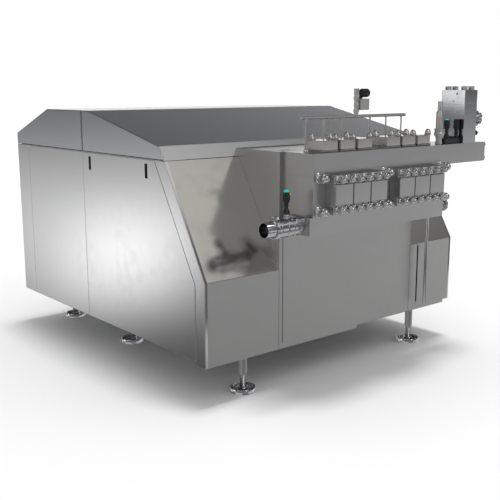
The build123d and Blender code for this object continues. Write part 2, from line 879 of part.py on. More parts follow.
def build_tap_valve():
    """Stacked valve body on the tap line, with a square positioner at its side."""
    base = tap_line_height + tap_line_radius
    body = bar_z(base, base + tap_valve_length, tap_valve_x, tap_line_y, tap_valve_radius)
    for index in range(tap_collar_count):
        z = base + (index + 0.5) * tap_valve_length / tap_collar_count
        body += bar_z(z, z + tap_collar_height, tap_valve_x, tap_line_y,
                      tap_valve_radius + tap_collar_rim)
    z0 = base + tap_block_rise
    left = tap_valve_x + tap_valve_radius - tap_block_overlap
    body += slab(left, left + tap_block_width, tap_line_y - tap_block_depth / 2,
                 tap_line_y + tap_block_depth / 2, z0, z0 + tap_block_height)
    return body


def build_tap_knob():
    """Knob of the tap valve, turning about X."""
    start = tap_valve_x + tap_valve_radius + seat_gap
    neck_end = start + knob_neck
    neck = bar_x(start, neck_end, tap_line_y, knob_height, knob_neck_radius)
    grip_end = neck_end + knob_length
    grip = bar_x(neck_end, grip_end, tap_line_y, knob_height, knob_radius)
    tip = bar_x(grip_end, grip_end + knob_tip, tap_line_y, knob_height, knob_neck_radius)
    return neck + grip + tip


def build_damper():
    """Pulsation damper: a stepped round body standing on the header."""
    z = header_top
    solid = None
    steps = [
        (damper_base_height, damper_base_radius),
        (damper_flange_height, damper_flange_radius),
        (damper_body_height, damper_body_radius),
        (damper_cap_height, damper_cap_radius),
    ]
    for height, radius in steps:
        step = bar_z(z, z + height, damper_x, damper_y, radius)
        solid = step if solid is None else solid + step
        z += height
    return solid


def build_tower():
    """Lower block of the homogenizing valve, with its upright bore and side outlet."""
    tower = slab(tower_left, tower_right, tower_front, tower_back, header_top, tower_seam_height)
    tower -= bar_z(header_top - 1, valve_seat_z, tower_middle_x, valve_y, header_gallery_radius)
    tower -= bar_z(valve_seat_z, valve_bore_top, tower_middle_x, valve_y, tower_bore_radius)
    tower -= bar_z(valve_bore_top, tower_seam_height + 1, tower_middle_x, valve_y,
                   forcer_radius + running_fit)
    tower -= bar_x(tower_middle_x, tower_right + 1, valve_y, outlet_height, outlet_port_radius)
    return tower


def build_tower_head():
    """Upper block that holds the hydraulic cylinder of the homogenizing valve."""
    head = slab(tower_left, tower_right, tower_front, tower_back, tower_seam_height, tower_top)
    return head - bar_z(tower_seam_height - 1, forcer_top, tower_middle_x, valve_y,
                        forcer_radius + running_fit)


def build_bolts():
    """Socket screws on the tower head and hexagon bolts in the end of the header."""
    solids = []
    inset = tower_bolt_inset
    for x in (tower_left + inset, tower_right - inset):
        for y in (tower_front + inset, tower_back - inset):
            screw = bar_z(tower_top, tower_top + tower_bolt_height, x, y, tower_bolt_radius)
            socket = hexagon_z(tower_top + tower_bolt_height / 2, tower_top + tower_bolt_height + 1,
                               x, y, tower_bolt_radius / 2)
            solids.append(screw - socket)
    for z in (header_bottom + header_bolt_inset, header_top - header_bolt_inset):
        solids.append(bar_x(header_right, header_right + header_bolt_height,
                            -block_depth + header_bolt_inset, z, header_bolt_radius))
    return solids


def build_valve_seats():
    """Seat and impact ring of the homogenizing valve."""
    outer = tower_bore_radius - running_fit
    seat = ring_z(valve_seat_z, valve_seat_z + seat_height, tower_middle_x, valve_y, outer,
                  seat_bore_radius)
    ring = ring_z(valve_seat_z + seat_height, valve_seat_z + seat_height + impact_ring_height,
                  tower_middle_x, valve_y, outer, forcer_radius + impact_ring_gap)
    return [seat, ring]


def build_forcer():
    """Rod that presses on the homogenizing gap; it lifts off the seat."""
    low = valve_seat_z + seat_height + seat_gap
    return bar_z(low, forcer_top - forcer_stroke - forcer_clearance, tower_middle_x, valve_y, forcer_radius)


def build_outlet():
    """Product outlet pipe with its union flange on the right of the tower."""
    end = tower_right + outlet_reach
    pipe = ring_x(tower_right, end + outlet_flange_thickness, valve_y, outlet_height, outlet_radius,
                  outlet_radius - outlet_wall)
    flange = ring_x(end, end + outlet_flange_thickness, valve_y, outlet_height,
                    outlet_flange_radius, outlet_radius - outlet_wall)
    return pipe + flange


def build_side_knob():
    """Small black knob on the right of the tower."""
    start = tower_right + seat_gap
    neck_end = start + side_knob_neck
    neck = bar_x(start, neck_end, side_knob_y, side_knob_height, side_knob_neck_radius)
    grip = bar_x(neck_end, neck_end + side_knob_length, side_knob_y, side_knob_height,
                 side_knob_radius)
    return neck + grip


def control_head(x, y, base, top, radius, bore):
    """Waisted plastic control head: a foot cone, a narrow neck and a flared body."""
    height = top - base
    neck = radius * 0.45
    profile = [
        (bore, 0), (radius * 0.95, 0), (radius * 0.85, height * 0.14), (neck, height * 0.26),
        (neck, height * 0.42), (radius * 0.92, height * 0.58), (radius, height), (bore, height),
    ]
    face = Plane.XZ * make_face(Polyline(*profile, close=True))
    return Pos(x, y, base) * revolve(face, Axis.Z)


def build_sensor_console():
    """Black console beside the tower with a cable socket and a position sensor."""
    y0 = -block_depth + console_margin
    console = slab(console_left, console_right, y0, y0 + console_depth, header_top,
                   header_top + console_height)
    top = header_top + console_height
    socket_left = transmitter_x + socket_offset
    socket = slab(socket_left, socket_left + socket_length, sensor_y - socket_width / 2,
                  sensor_y + socket_width / 2, top, top + socket_height)
    shoulder = sensor_top - position_sensor_height
    stem = bar_z(top, shoulder, position_sensor_x, sensor_y, position_sensor_neck)
    sensor = bar_z(shoulder, sensor_top, position_sensor_x, sensor_y, position_sensor_radius)
    return [console, socket, stem + sensor]


def build_tower_control():
    """Control head standing on the console."""
    return control_head(transmitter_x, sensor_y, header_top + console_height, sensor_top,
                        transmitter_radius, 0)


def build_inlet_pipe():
    """Short product inlet pipe with a ferrule."""
    pipe = ring_x(inlet_end, inlet_clamp_x, gallery_y, gallery_height, gallery_radius + inlet_wall,
                  gallery_radius)
    ferrule = ring_x(inlet_clamp_x - inlet_ferrule_length, inlet_clamp_x, gallery_y, gallery_height,
                     inlet_ferrule_radius, gallery_radius)
    return pipe + ferrule


def build_inlet_clamp():
    """Clamp ring around the two ferrules, with its closing screw on top."""
    half = inlet_clamp_width / 2
    ring = ring_x(inlet_clamp_x - half, inlet_clamp_x + half, gallery_y, gallery_height,
                  inlet_clamp_radius, inlet_ferrule_radius + running_fit)
    z = gallery_height + inlet_clamp_radius
    lug_bottom = z - clamp_lug_sink
    lug = slab(inlet_clamp_x - clamp_lug_width / 2, inlet_clamp_x + clamp_lug_width / 2,
               gallery_y - clamp_lug_length / 2, gallery_y + clamp_lug_length / 2,
               lug_bottom, lug_bottom + clamp_lug_height)
    screw = bar_y(gallery_y - clamp_screw_length / 2, gallery_y + clamp_screw_length / 2,
                  inlet_clamp_x, z + clamp_lug_height / 4, clamp_screw_radius)
    return ring + lug + screw


def build_butterfly_body():
    """Body of the butterfly valve between the clamp and the strainer."""
    outer = gallery_radius + butterfly_wall
    body = bar_x(inlet_clamp_x, strainer_left, gallery_y, gallery_height, outer)
    body += bar_x(inlet_clamp_x, inlet_clamp_x + inlet_ferrule_length, gallery_y, gallery_height,
                  inlet_ferrule_radius)
    half = butterfly_width / 2
    body += bar_x(butterfly_x - half, butterfly_x + half, gallery_y, gallery_height, butterfly_radius)
    body += bar_z(gallery_height + gallery_radius, actuator_base_height, butterfly_x, gallery_y,
                  butterfly_neck_radius)
    body -= bar_x(inlet_clamp_x - 1, strainer_left + 1, gallery_y, gallery_height, gallery_radius)
    return body - bar_z(gallery_height, actuator_base_height + 1, butterfly_x, gallery_y,
                        butterfly_stem_radius + running_fit)


def build_butterfly_disc():
    """Disc and stem of the butterfly valve, shut at rest."""
    half = disc_thickness / 2
    disc = bar_x(butterfly_x - half, butterfly_x + half, gallery_y, gallery_height, disc_radius)
    return disc + bar_z(gallery_height, actuator_top, butterfly_x, gallery_y, butterfly_stem_radius)


def build_inlet_actuator():
    """Plastic control head of the butterfly valve."""
    return control_head(butterfly_x, gallery_y, actuator_base_height, actuator_top - indicator_skirt,
                        inlet_head_radius, butterfly_stem_radius + running_fit)


def build_indicator():
    """Round position indicator on the end of the valve stem."""
    cap = bar_z(actuator_top - indicator_skirt + seat_gap, actuator_top + indicator_cap,
                butterfly_x, gallery_y, indicator_radius)
    return cap - bar_z(0, actuator_top, butterfly_x, gallery_y, butterfly_stem_radius)


def build_strainer():
    """Round strainer housing in the suction line."""
    return ring_x(strainer_left, block_left - inlet_flange_thickness, gallery_y, gallery_height,
                  strainer_radius, gallery_radius)


def build_inlet_flange():
    """Square flange block where the suction line enters the pump block."""
    left = block_left - inlet_flange_thickness
    flange = slab(left, block_left, -block_depth, inlet_flange_back, inlet_flange_bottom,
                  inlet_flange_top)
    return flange - bar_x(left - 1, block_left + 1, gallery_y, gallery_height, gallery_radius)


def build_bypass():
    """Thin pipe beside the strainer."""
    return bar_x(butterfly_x + butterfly_width / 2, block_left - inlet_flange_thickness, bypass_y,
                 bypass_z, bypass_radius)


def build_end_cap():
    """Blind stub that closes the right end of the suction gallery."""
    stub = bar_x(block_right, end_cap_right, gallery_y, gallery_height, end_stub_radius)
    stub += bar_x(block_right, block_right + end_ring_thickness, gallery_y, gallery_height,
                  gallery_radius + end_ring_margin)
    return stub + bar_x(end_cap_right - end_cap_thickness, end_cap_right, gallery_y, gallery_height,
                        end_cap_radius)


def build_drain_pipe():
    """Drain pipe from the header down to the skirt."""
    return ring_z(drain_end, header_bottom, drain_x, drain_y, drain_radius,
                  drain_radius - drain_wall)


def build_crankcase():
    """Power end housing with crosshead guides and shaft bearings."""
    inner_front = case_front + case_front_wall
    case = slab(case_left, case_right, case_front, case_back, case_bottom, case_top)
    case -= slab(case_left + case_wall, case_right - case_wall, inner_front, case_back - case_wall,
                 case_bottom + case_wall, case_top - case_wall)
    for x in cylinder_xs:
        case -= bar_y(case_front - 1, guide_start, x, plunger_height, plunger_radius + running_fit)
        case -= bar_y(guide_start, inner_front + 1, x, plunger_height, crosshead_radius + running_fit)
    case -= bar_x(case_left - 1, case_right + 1, crank_y, plunger_height,
                  crank_journal_radius + running_fit)
    return case - bar_x(case_left - 1, case_right + 1, pinion_y, plunger_height,
                        pinion_shaft_radius + running_fit)


def build_crankshaft():
    """Six-throw crankshaft with disc webs and a gear in the middle."""
    shaft = gear(block_middle - gear_width / 2, block_middle + gear_width / 2, crank_y,
                 plunger_height, gear_teeth, 0)
    ends = [case_left]
    for index, x in enumerate(cylinder_xs):
        phase = math.radians(90.0 + 120.0 * (index % cylinders_per_group))
        half = crank_pin_length / 2
        y = crank_y + crank_throw * math.cos(phase)
        z = plunger_height + crank_throw * math.sin(phase)
        shaft += bar_x(x - half, x + half, y, z, crank_pin_radius)
        for x0 in (x - half - web_thickness, x + half):
            shaft += bar_x(x0, x0 + web_thickness, crank_y, plunger_height, web_radius)
        shaft += bar_x(ends[-1], x - half - web_thickness, crank_y, plunger_height,
                       crank_journal_radius)
        ends.append(x + half + web_thickness)
    return shaft + bar_x(ends[-1], case_right, crank_y, plunger_height, crank_journal_radius)


def build_pinion_shaft():
    """Pinion shaft with its large belt pulley outside the power end."""
    shaft = bar_x(case_left, pulley_left + pulley_width, pinion_y, plunger_height,
                  pinion_shaft_radius)
    half = gear_width / 2 + pinion_overhang
    shaft += gear(block_middle - half, block_middle + half, pinion_y, plunger_height, pinion_teeth,
                  pinion_mesh_turn)
    return shaft + bar_x(pulley_left, pulley_left + pulley_width, pinion_y, plunger_height,
                         large_pulley_radius)


def build_plungers(index):
    """Plunger, crosshead and rod of the two cylinders that share a crank phase."""
    solids = []
    crosshead_end = crosshead_front + crosshead_length
    for x in cylinder_xs[index::cylinders_per_group]:
        solids.append(bar_y(plunger_tip, crosshead_front, x, plunger_height, plunger_radius))
        solids.append(bar_y(crosshead_front, crosshead_end, x, plunger_height, crosshead_radius))
        solids.append(bar_y(crosshead_end, crosshead_end + rod_length, x, plunger_height, rod_radius))
    return solids


def build_motor():
    """Main motor housing with its end walls and feet."""
    housing = bar_x(motor_left, motor_right, motor_y, motor_height, motor_radius)
    for side in (-1, 1):
        y = motor_y + side * motor_foot_spread / 2
        inner = motor_y + side * motor_foot_inner
        y0, y1 = sorted((y + side * cross_tube / 2, inner))
        housing += slab(motor_left + motor_foot_inset, motor_right - motor_foot_inset, y0, y1,
                        rail_top, motor_height - motor_foot_drop)
    housing -= bar_x(motor_left + motor_end_wall, motor_right - motor_end_wall, motor_y,
                     motor_height, motor_bore_radius)
    return housing - bar_x(motor_right - motor_end_wall - 1, motor_right + 1, motor_y, motor_height,
                           motor_shaft_radius + running_fit)


def build_rotor():
    """Motor rotor, shaft and small belt pulley."""
    inner_left = motor_left + motor_end_wall + rotor_end_gap
    inner_right = motor_right - motor_end_wall - rotor_end_gap
    rotor = bar_x(inner_left, inner_right, motor_y, motor_height, rotor_radius)
    rotor += bar_x(inner_left, pulley_left + pulley_width, motor_y, motor_height, motor_shaft_radius)
    return rotor + bar_x(pulley_left, pulley_left + pulley_width, motor_y, motor_height,
                         small_pulley_radius)


def belt_face(large, small):
    """Outline around two pulleys: both circles and the area between their tangents."""
    dy, dz = motor_y - pinion_y, motor_height - plunger_height
    distance = math.hypot(dy, dz)
    lean = math.acos((large - small) / distance)
    direction = math.atan2(dz, dy)
    corners = []
    for side in (1, -1):
        angle = direction + side * lean
        first = (pinion_y + large * math.cos(angle), plunger_height + large * math.sin(angle))
        second = (motor_y + small * math.cos(angle), motor_height + small * math.sin(angle))
        corners.extend([first, second] if side == 1 else [second, first])
    area = make_face(Polyline(*corners, close=True))
    area += Pos(pinion_y, plunger_height) * Circle(large)
    return area + Pos(motor_y, motor_height) * Circle(small)


def build_belts():
    """Parallel drive belts around the two pulleys."""
    large, small = large_pulley_radius + belt_gap, small_pulley_radius + belt_gap
    outer = belt_face(large + belt_thickness, small + belt_thickness)
    loop = outer - belt_face(large, small)
    pitch = pulley_width / belt_count
    solids = []
    for index in range(belt_count):
        x = pulley_left + (index + (1 - belt_share) / 2) * pitch
        solids.append(Pos(x, 0, 0) * extrude(Plane.YZ * loop, pitch * belt_share, dir=(1, 0, 0)))
    return solids


def build_oil_unit():
    """Oil tank with its pump motor, standing on the left rail."""
    x0 = foot_inset_x - oil_unit_size / 2
    y0 = motor_y - oil_unit_size / 2
    tank = slab(x0, x0 + oil_unit_size, y0, y0 + oil_unit_size, rail_top, rail_top + oil_unit_height)
    top = rail_top + oil_unit_height
    pump = bar_z(top, top + oil_pump_length, foot_inset_x, motor_y, oil_pump_radius)
    return [tank, pump]


nodes = {
    "base_frame": build_frame(),
    "left_side_panel": [build_side_panel()],
    "right_side_panel": [mirrored(build_side_panel())],
    "rear_side_panels": [build_rear_side_panel(), mirrored(build_rear_side_panel())],
    "corner_posts": build_corner_posts(),
    "lower_front_panels": build_lower_front_panels(),
    "slant_panels": build_slant_panels(),
    "front_housing": build_housing(),
    "rear_panel": [build_rear_panel()],
    "roof_front_hood": build_roof(0, roof_split - seam / 2),
    "roof_rear_hood": build_roof(roof_split + seam / 2, cabinet_depth),
    "pump_block": [build_pump_block()],
    "pressure_header": [build_header()],
    "inlet_valve_poppets": build_poppets(inlet_seat_height),
    "outlet_valve_poppets": build_poppets(outlet_seat_height),
    "front_covers": build_front_covers(),
    "front_cover_nuts": build_front_nuts(),
    "block_stud_nuts": build_stud_nuts(),
    "top_covers": build_top_covers(),
    "top_cover_nuts": build_top_nuts(),
    "tap_line": [build_tap_line()],
    "tap_valve": [build_tap_valve()],
    "tap_valve_knob": [build_tap_knob()],
    "pulsation_damper": [build_damper()],
    "valve_tower": [build_tower()],
    "valve_tower_head": [build_tower_head()],
    "tower_and_header_bolts": build_bolts(),
    "homogenizing_seat_rings": build_valve_seats(),
    "homogenizing_forcer": [build_forcer()],
    "outlet_pipe": [build_outlet()],
    "tower_side_knob": [build_side_knob()],
    "sensor_console": build_sensor_console(),
    "tower_control_head": [build_tower_control()],
    "inlet_pipe": [build_inlet_pipe()],
    "inlet_clamp": [build_inlet_clamp()],
    "butterfly_valve_body": [build_butterfly_body()],
    "butterfly_disc": [build_butterfly_disc()],
    "inlet_control_head": [build_inlet_actuator()],
    "position_indicator": [build_indicator()],
    "strainer_housing": [build_strainer()],
    "inlet_flange": [build_inlet_flange()],
    "bypass_pipe": [build_bypass()],
    "gallery_end_cap": [build_end_cap()],
    "drain_pipe": [build_drain_pipe()],
    "crankcase": [build_crankcase()],
    "crankshaft": [build_crankshaft()],
    "pinion_shaft": [build_pinion_shaft()],
    "motor_housing": [build_motor()],
    "motor_rotor": [build_rotor()],
    "drive_belts": build_belts(),
    "oil_unit": build_oil_unit(),
}
for index, name in enumerate(("plungers_first_pair", "plungers_second_pair", "plungers_third_pair")):
    nodes[name] = build_plungers(index)
for index, (x, y) in enumerate(foot_places):
    nodes[f"levelling_foot_{index + 1}"] = [build_foot(x, y)]

everything = Compound(children=[solid for shapes in nodes.values() for part in shapes
                                for solid in part.solids()])
box = everything.bounding_box()
shift = Vector(-(box.min.X + box.max.X) / 2, -(box.min.Y + box.max.Y) / 2, -box.min.Z)


def main():
    """Write every node, moved so that the model is centred on the floor."""
    os.makedirs("parts", exist_ok=True)
    for name, shapes in nodes.items():
        solids = [solid for shape in shapes for solid in shape.solids()]
        moved = [Pos(shift.X, shift.Y, shift.Z) * solid for solid in solids]
        export_step(Compound(children=moved), f"parts/{name}.step")


main()
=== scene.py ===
import json
import logging
import math
from collections.abc import Callable, Sequence
from dataclasses import dataclass, field
from enum import Enum

import bmesh
import bpy
import numpy as np
from mathutils import Matrix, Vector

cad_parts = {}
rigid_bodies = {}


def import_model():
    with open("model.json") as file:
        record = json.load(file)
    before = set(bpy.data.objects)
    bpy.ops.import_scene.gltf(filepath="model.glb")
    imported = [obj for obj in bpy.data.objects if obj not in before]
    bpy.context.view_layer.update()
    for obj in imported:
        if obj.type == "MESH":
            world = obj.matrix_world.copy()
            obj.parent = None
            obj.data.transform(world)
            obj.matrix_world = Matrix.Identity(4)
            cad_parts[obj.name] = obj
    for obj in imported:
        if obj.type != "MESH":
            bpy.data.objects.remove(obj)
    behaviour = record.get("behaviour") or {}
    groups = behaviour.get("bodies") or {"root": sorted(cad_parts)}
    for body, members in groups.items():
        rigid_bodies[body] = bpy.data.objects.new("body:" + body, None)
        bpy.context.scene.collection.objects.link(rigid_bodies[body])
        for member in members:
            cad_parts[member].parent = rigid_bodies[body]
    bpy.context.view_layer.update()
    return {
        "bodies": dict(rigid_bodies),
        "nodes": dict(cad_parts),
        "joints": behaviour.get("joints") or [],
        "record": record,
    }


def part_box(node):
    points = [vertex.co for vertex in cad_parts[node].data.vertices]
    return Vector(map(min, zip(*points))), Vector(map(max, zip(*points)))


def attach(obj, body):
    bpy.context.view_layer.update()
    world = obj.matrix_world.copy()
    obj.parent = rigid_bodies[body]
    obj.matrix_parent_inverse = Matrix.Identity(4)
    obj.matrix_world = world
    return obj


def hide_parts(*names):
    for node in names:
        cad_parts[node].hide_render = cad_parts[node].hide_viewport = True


Array = np.ndarray
Profile = Sequence[tuple[float, float]]
Swell = Callable[[Array, Array], Array]
MM = 0.001
X_AXIS, Y_AXIS, Z_AXIS = np.eye(3)
LOG = logging.getLogger("homogenizer")


# Shapes as arrays


@dataclass
class Surface:
    """A mesh held as arrays.

    The points are rows of x, y, z. Quads are rows of four point numbers, and caps are faces with
    more corners.
    """

    points: Array
    quads: Array
    caps: list[Array] = field(default_factory=list)

    @staticmethod
    def merged(parts: Sequence["Surface"]) -> "Surface":
        """Puts several surfaces into one.

        Args:
            parts: the surfaces, which keep their order.

        Returns:
            One surface whose point numbers are shifted by the points before them.
        """
        starts = np.cumsum([0] + [len(part.points) for part in parts[:-1]])
        quads = np.vstack([part.quads + start for part, start in zip(parts, starts)])
        caps = [cap + start for part, start in zip(parts, starts) for cap in part.caps]
        return Surface(np.vstack([part.points for part in parts]), quads, caps)


def grid_quads(rows: int, columns: int, wrap_rows: bool, wrap_columns: bool) -> Array:
    """Numbers the quads of a grid of points.

    Args:
        rows: lines of points.
        columns: points in a line.
        wrap_rows: the last line joins the first.
        wrap_columns: the last point of a line joins its first.

    Returns:
        Rows of four point numbers.
    """
    i, j = np.meshgrid(np.arange(rows - (not wrap_rows)), np.arange(columns - (not wrap_columns)),
                       indexing="ij")
    below, beside = (i + 1) % rows, (j + 1) % columns
    corners = [i * columns + j, i * columns + beside, below * columns + beside, below * columns + j]
    return np.stack(corners, -1).reshape(-1, 4)


def cross_axes(axis: Array) -> tuple[Array, Array]:
    """Finds two unit vectors square to an axis and to each other.

    The first is square to the axis and to a helper direction, and the second is the cross
    product of the axis and the first.

    Args:
        axis: a unit direction.

    Returns:
        The two directions.
    """
    nearly_upright = 0.9
    helper = Z_AXIS if abs(axis[2]) < nearly_upright else X_AXIS
    first = np.cross(helper, axis)
    first /= np.linalg.norm(first)
    return first, np.cross(axis, first)


def lathe(profile: Profile, origin: Array, axis: Array, sides: int = 48,
          swell: Swell | None = None, closed: bool = False) -> Surface:
    """Turns a profile about an axis.

    A point is the origin, plus the height along the axis, plus the radius times the direction at
    the turning angle. The radius is the profile's own, or what swell makes of it.

    Args:
        profile: radius and height pairs in millimetres.
        origin: where height zero lies, in metres.
        axis: unit direction of growing height.
        sides: steps round the axis.
        swell: gives the radius from the profile's radius and the angle, both as arrays.
        closed: the profile is a loop, as for a ring, and doesn't start and end on the axis.

    Returns:
        The turned surface, with doubled points where it meets the axis.
    """
    table = np.array(profile, float)
    angle = np.linspace(0.0, 2 * math.pi, sides, endpoint=False)[None, :]
    radius = np.repeat(table[:, :1], sides, axis=1)
    if swell is not None:
        radius = swell(radius, angle)
    first, second = cross_axes(axis)
    ray = np.cos(angle)[..., None] * first + np.sin(angle)[..., None] * second
    points = origin + table[:, 1, None, None] * MM * axis + radius[..., None] * MM * ray
    return Surface(points.reshape(-1, 3), grid_quads(len(table), sides, closed, True))


def hexagon_limit(corner: float) -> Swell:
    """Keeps a turned radius inside a hexagon.

    The hexagon's radius at an angle is its half width across flats divided by the cosine of the
    angle to the middle of the nearest flat, and the smaller of that and the profile's radius
    stays, so a cone on the profile chamfers the six corners.

    Args:
        corner: radius of the hexagon's corners, in millimetres.

    Returns:
        The function that lathe uses as its swell.
    """
    half_flat = corner * math.cos(math.pi / 6)

    def limit(radius: Array, angle: Array) -> Array:
        """Gives the smaller of the radius and the hexagon's."""
        to_flat = (angle % (math.pi / 3)) - math.pi / 6
        return np.minimum(radius, half_flat / np.cos(to_flat))

    return limit


def hexagon_after(corner: float) -> Swell:
    """Makes a nut's outer part a hexagon and leaves the smaller radii round.

    Args:
        corner: radius from which the hexagon starts, in millimetres.

    Returns:
        The function that lathe uses as its swell.
    """
    corner_share = 1.12
    limit = hexagon_limit(corner * corner_share)

    def shape(radius: Array, angle: Array) -> Array:
        """Limits the radii from the corner radius up."""
        return np.where(radius >= corner, limit(radius, angle), radius)

    return shape


def lobes(count: int, depth: float, inside: float = 0.0) -> Swell:
    """Cuts grips round a knob or nut.

    The radius loses depth times a cosine of the angle that is raised and clipped to 0 and 1.

    Args:
        count: grips round the piece.
        depth: how deep they are, as a share of the radius.
        inside: radii below this stay round.

    Returns:
        The function that lathe uses as its swell.
    """
    steepness, shift = 1.6, 0.3

    def wave(radius: Array, angle: Array) -> Array:
        """Lowers the radius in the grips."""
        groove = np.clip(np.cos(count * angle) * steepness - shift, 0.0, 1.0)
        return np.where(radius > inside, radius * (1 - depth * groove), radius)

    return wave


def arc(centre: tuple[float, float], radius: float, start: float, end: float,
        steps: int = 8) -> list[tuple[float, float]]:
    """Works out points of a circle arc in a profile.

    Args:
        centre: radius and height of its middle.
        radius: the arc's radius.
        start: first angle, in degrees from the radius direction.
        end: last angle.
        steps: number of points.

    Returns:
        Radius and height pairs.
    """
    turn = np.radians(np.linspace(start, end, steps))
    return list(zip(centre[0] + radius * np.cos(turn), centre[1] + radius * np.sin(turn)))


def cap_nut(origin: Array, axis: Array, corner: float, length: float) -> Surface:
    """Domed cap nut: a chamfered hexagon under a ball end.

    Args:
        origin: middle of the seat, in metres.
        axis: direction of the stud.
        corner: radius across the corners, in millimetres.
        length: whole height, in millimetres.

    Returns:
        The nut, closed at both ends.
    """
    dome_share = 0.8
    dome = corner * dome_share
    shoulder = length - dome
    flat = corner * math.cos(math.pi / 6)
    profile = [(0, 0), (flat * 0.97, 0), (corner, corner * 0.12),
               (corner, shoulder - corner * 0.16), (flat * 0.96, shoulder - corner * 0.02),
               (dome, shoulder)]
    profile += arc((0, shoulder), dome, 0, 90, 9)[1:]
    return lathe(profile, origin, axis, 36, hexagon_limit(corner))


def socket_screw(origin: Array, axis: Array, radius: float, height: float) -> Surface:
    """Cylinder-head screw with a hexagon socket and a fluted rim.

    The rim's radius is a little smaller wherever the cosine of the flute count times the angle
    is above zero.

    Args:
        origin: middle of the seat, in metres.
        axis: direction out of the head.
        radius: the head's radius, in millimetres.
        height: the head's height, in millimetres.

    Returns:
        The head of the screw.
    """
    socket_share, floor_share, flutes, flute_depth = 0.52, 0.45, 24, 0.022
    socket, floor = radius * socket_share, height * floor_share
    profile = [(0, floor), (socket, floor), (socket, height - 1.5),
               (socket + 1.2, height), (radius - 2.5, height), (radius, height - 2.5),
               (radius, 2), (radius - 1.5, 0), (0, 0)]
    key_play = 1.05
    hexagon = hexagon_limit(socket / math.cos(math.pi / 6) * key_play)

    def shape(turned: Array, angle: Array) -> Array:
        """Makes the socket a hexagon and flutes the rim.

        Args:
            turned: the profile's radius at each point.
            angle: the turning angle of each point.

        Returns:
            The new radius at each point.
        """
        rim = turned * (1 - flute_depth * (np.cos(flutes * angle) > 0))
        return np.where(turned <= socket + 0.1, hexagon(turned, angle),
                        np.where(turned >= radius - 0.1, rim, turned))

    return lathe(profile, origin, axis, 96, shape)


def inward_offset(outline: Array, inset: float) -> Array:
    """Moves the sides of a closed outline inwards.

    A corner moves by the inset times the sum of its two inward side normals, divided by one plus
    their dot product.

    Args:
        outline: corners in counter-clockwise order.
        inset: distance that each side moves.

    Returns:
        The new corners in the same order.
    """
    ahead = np.roll(outline, -1, 0) - outline
    ahead /= np.linalg.norm(ahead, axis=1, keepdims=True)
    after = np.stack([-ahead[:, 1], ahead[:, 0]], 1)
    before = np.roll(after, 1, 0)
    return outline + inset * (before + after) / (1 + np.sum(before * after, 1, keepdims=True))


@dataclass(frozen=True)
class Wall:
    """A flat side of the machine: its zero, its two directions and the way to its inside."""

    origin: Array
    along: Array
    up: Array
    inside: Array

    def place(self, flat: Array, depth: Array | float) -> Array:
        """Places flat points at a depth behind the side.

        Args:
            flat: rows of two lengths along the side's directions, in millimetres.
            depth: one depth or one for each point, in millimetres.

        Returns:
            Rows of x, y, z in metres.
        """
        depth = np.broadcast_to(np.asarray(depth, float), (len(flat),))[:, None]
        offset = flat[:, :1] * self.along + flat[:, 1:] * self.up + depth * self.inside
        return self.origin + offset * MM


def folded_sheet(wall: Wall, outline: Profile, radius: float, depth: float | Sequence[float],
                 steps: int = 5) -> Surface:
    """Sheet-metal panel with rolled edges.

    Each row of points is the outline moved in by R(1 - cos a) at a depth of R(1 - sin a), for a
    from 0 to 90 degrees, after a first row at the full depth of the fold.

    Args:
        wall: the side that the panel lies in.
        outline: its corners in the side's two directions, in millimetres.
        radius: outer radius R of the rolled edge.
        depth: how far the edges fold back, for all corners or for each.
        steps: rows on the rolled edge.

    Returns:
        The outer skin, open at the back.
    """
    flat = np.array(outline, float)
    depth = np.broadcast_to(np.asarray(depth, float), (len(flat),))
    ahead = np.roll(flat, -1, 0)
    if np.sum(flat[:, 0] * ahead[:, 1] - ahead[:, 0] * flat[:, 1]) < 0:
        flat, depth = flat[::-1], depth[::-1]
    turn = np.linspace(0, math.pi / 2, steps)
    rows = [wall.place(flat, depth)]
    rows += [wall.place(inward_offset(flat, radius * (1 - math.cos(a))), radius * (1 - math.sin(a)))
             for a in turn]
    count = len(flat)
    cap = np.arange(count) + steps * count
    return Surface(np.vstack(rows), grid_quads(steps + 1, count, False, True), [cap])


@dataclass(frozen=True)
class Plate:
    """Half sizes, depth and corner radius of a flat plate, in millimetres."""

    half: tuple[float, float]
    depth: float
    corner: float


def rounded_plate(centre: Array, along: Array, up: Array, size: Plate, steps: int = 6) -> Surface:
    """Flat plate whose outline is a rectangle with round corners.

    A corner's points are its centre plus the corner radius times the direction at the angle.

    Args:
        centre: middle of the plate's depth, in metres.
        along: unit direction of the first half size.
        up: unit direction of the second half size.
        size: the plate's sizes.
        steps: points on a corner.

    Returns:
        The plate, closed on both faces.
    """
    turn = np.radians(np.linspace(0, 90, steps))
    starts = np.repeat(np.arange(4) * math.pi / 2, steps)
    angle = starts + np.tile(turn, 4)
    signs = np.array(((1, 1), (-1, 1), (-1, -1), (1, -1)))
    middle = np.repeat(signs * (np.array(size.half) - size.corner), steps, axis=0)
    flat = (middle + size.corner * np.stack([np.cos(angle), np.sin(angle)], 1)) * MM
    normal = np.cross(along, up)
    face = centre + flat[:, :1] * along + flat[:, 1:] * up
    reach = normal * size.depth * MM / 2
    count = len(flat)
    caps = [np.arange(count)[::-1], np.arange(count) + count]
    return Surface(np.vstack([face - reach, face + reach]), grid_quads(2, count, False, True), caps)


# Materials


def group_socket(tree: bpy.types.NodeTree, name: str, kind: str, out: bool = False,
                 value: float | None = None) -> None:
    """Adds a named socket to a node group.

    Args:
        tree: the group.
        name: the socket's name.
        kind: Blender's name of its type.
        out: the group gives it out, and doesn't take it in.
        value: what it holds at first.
    """
    socket = tree.interface.new_socket(name=name, in_out="OUTPUT" if out else "INPUT",
                                       socket_type=kind)
    if value is not None:
        socket.default_value = value


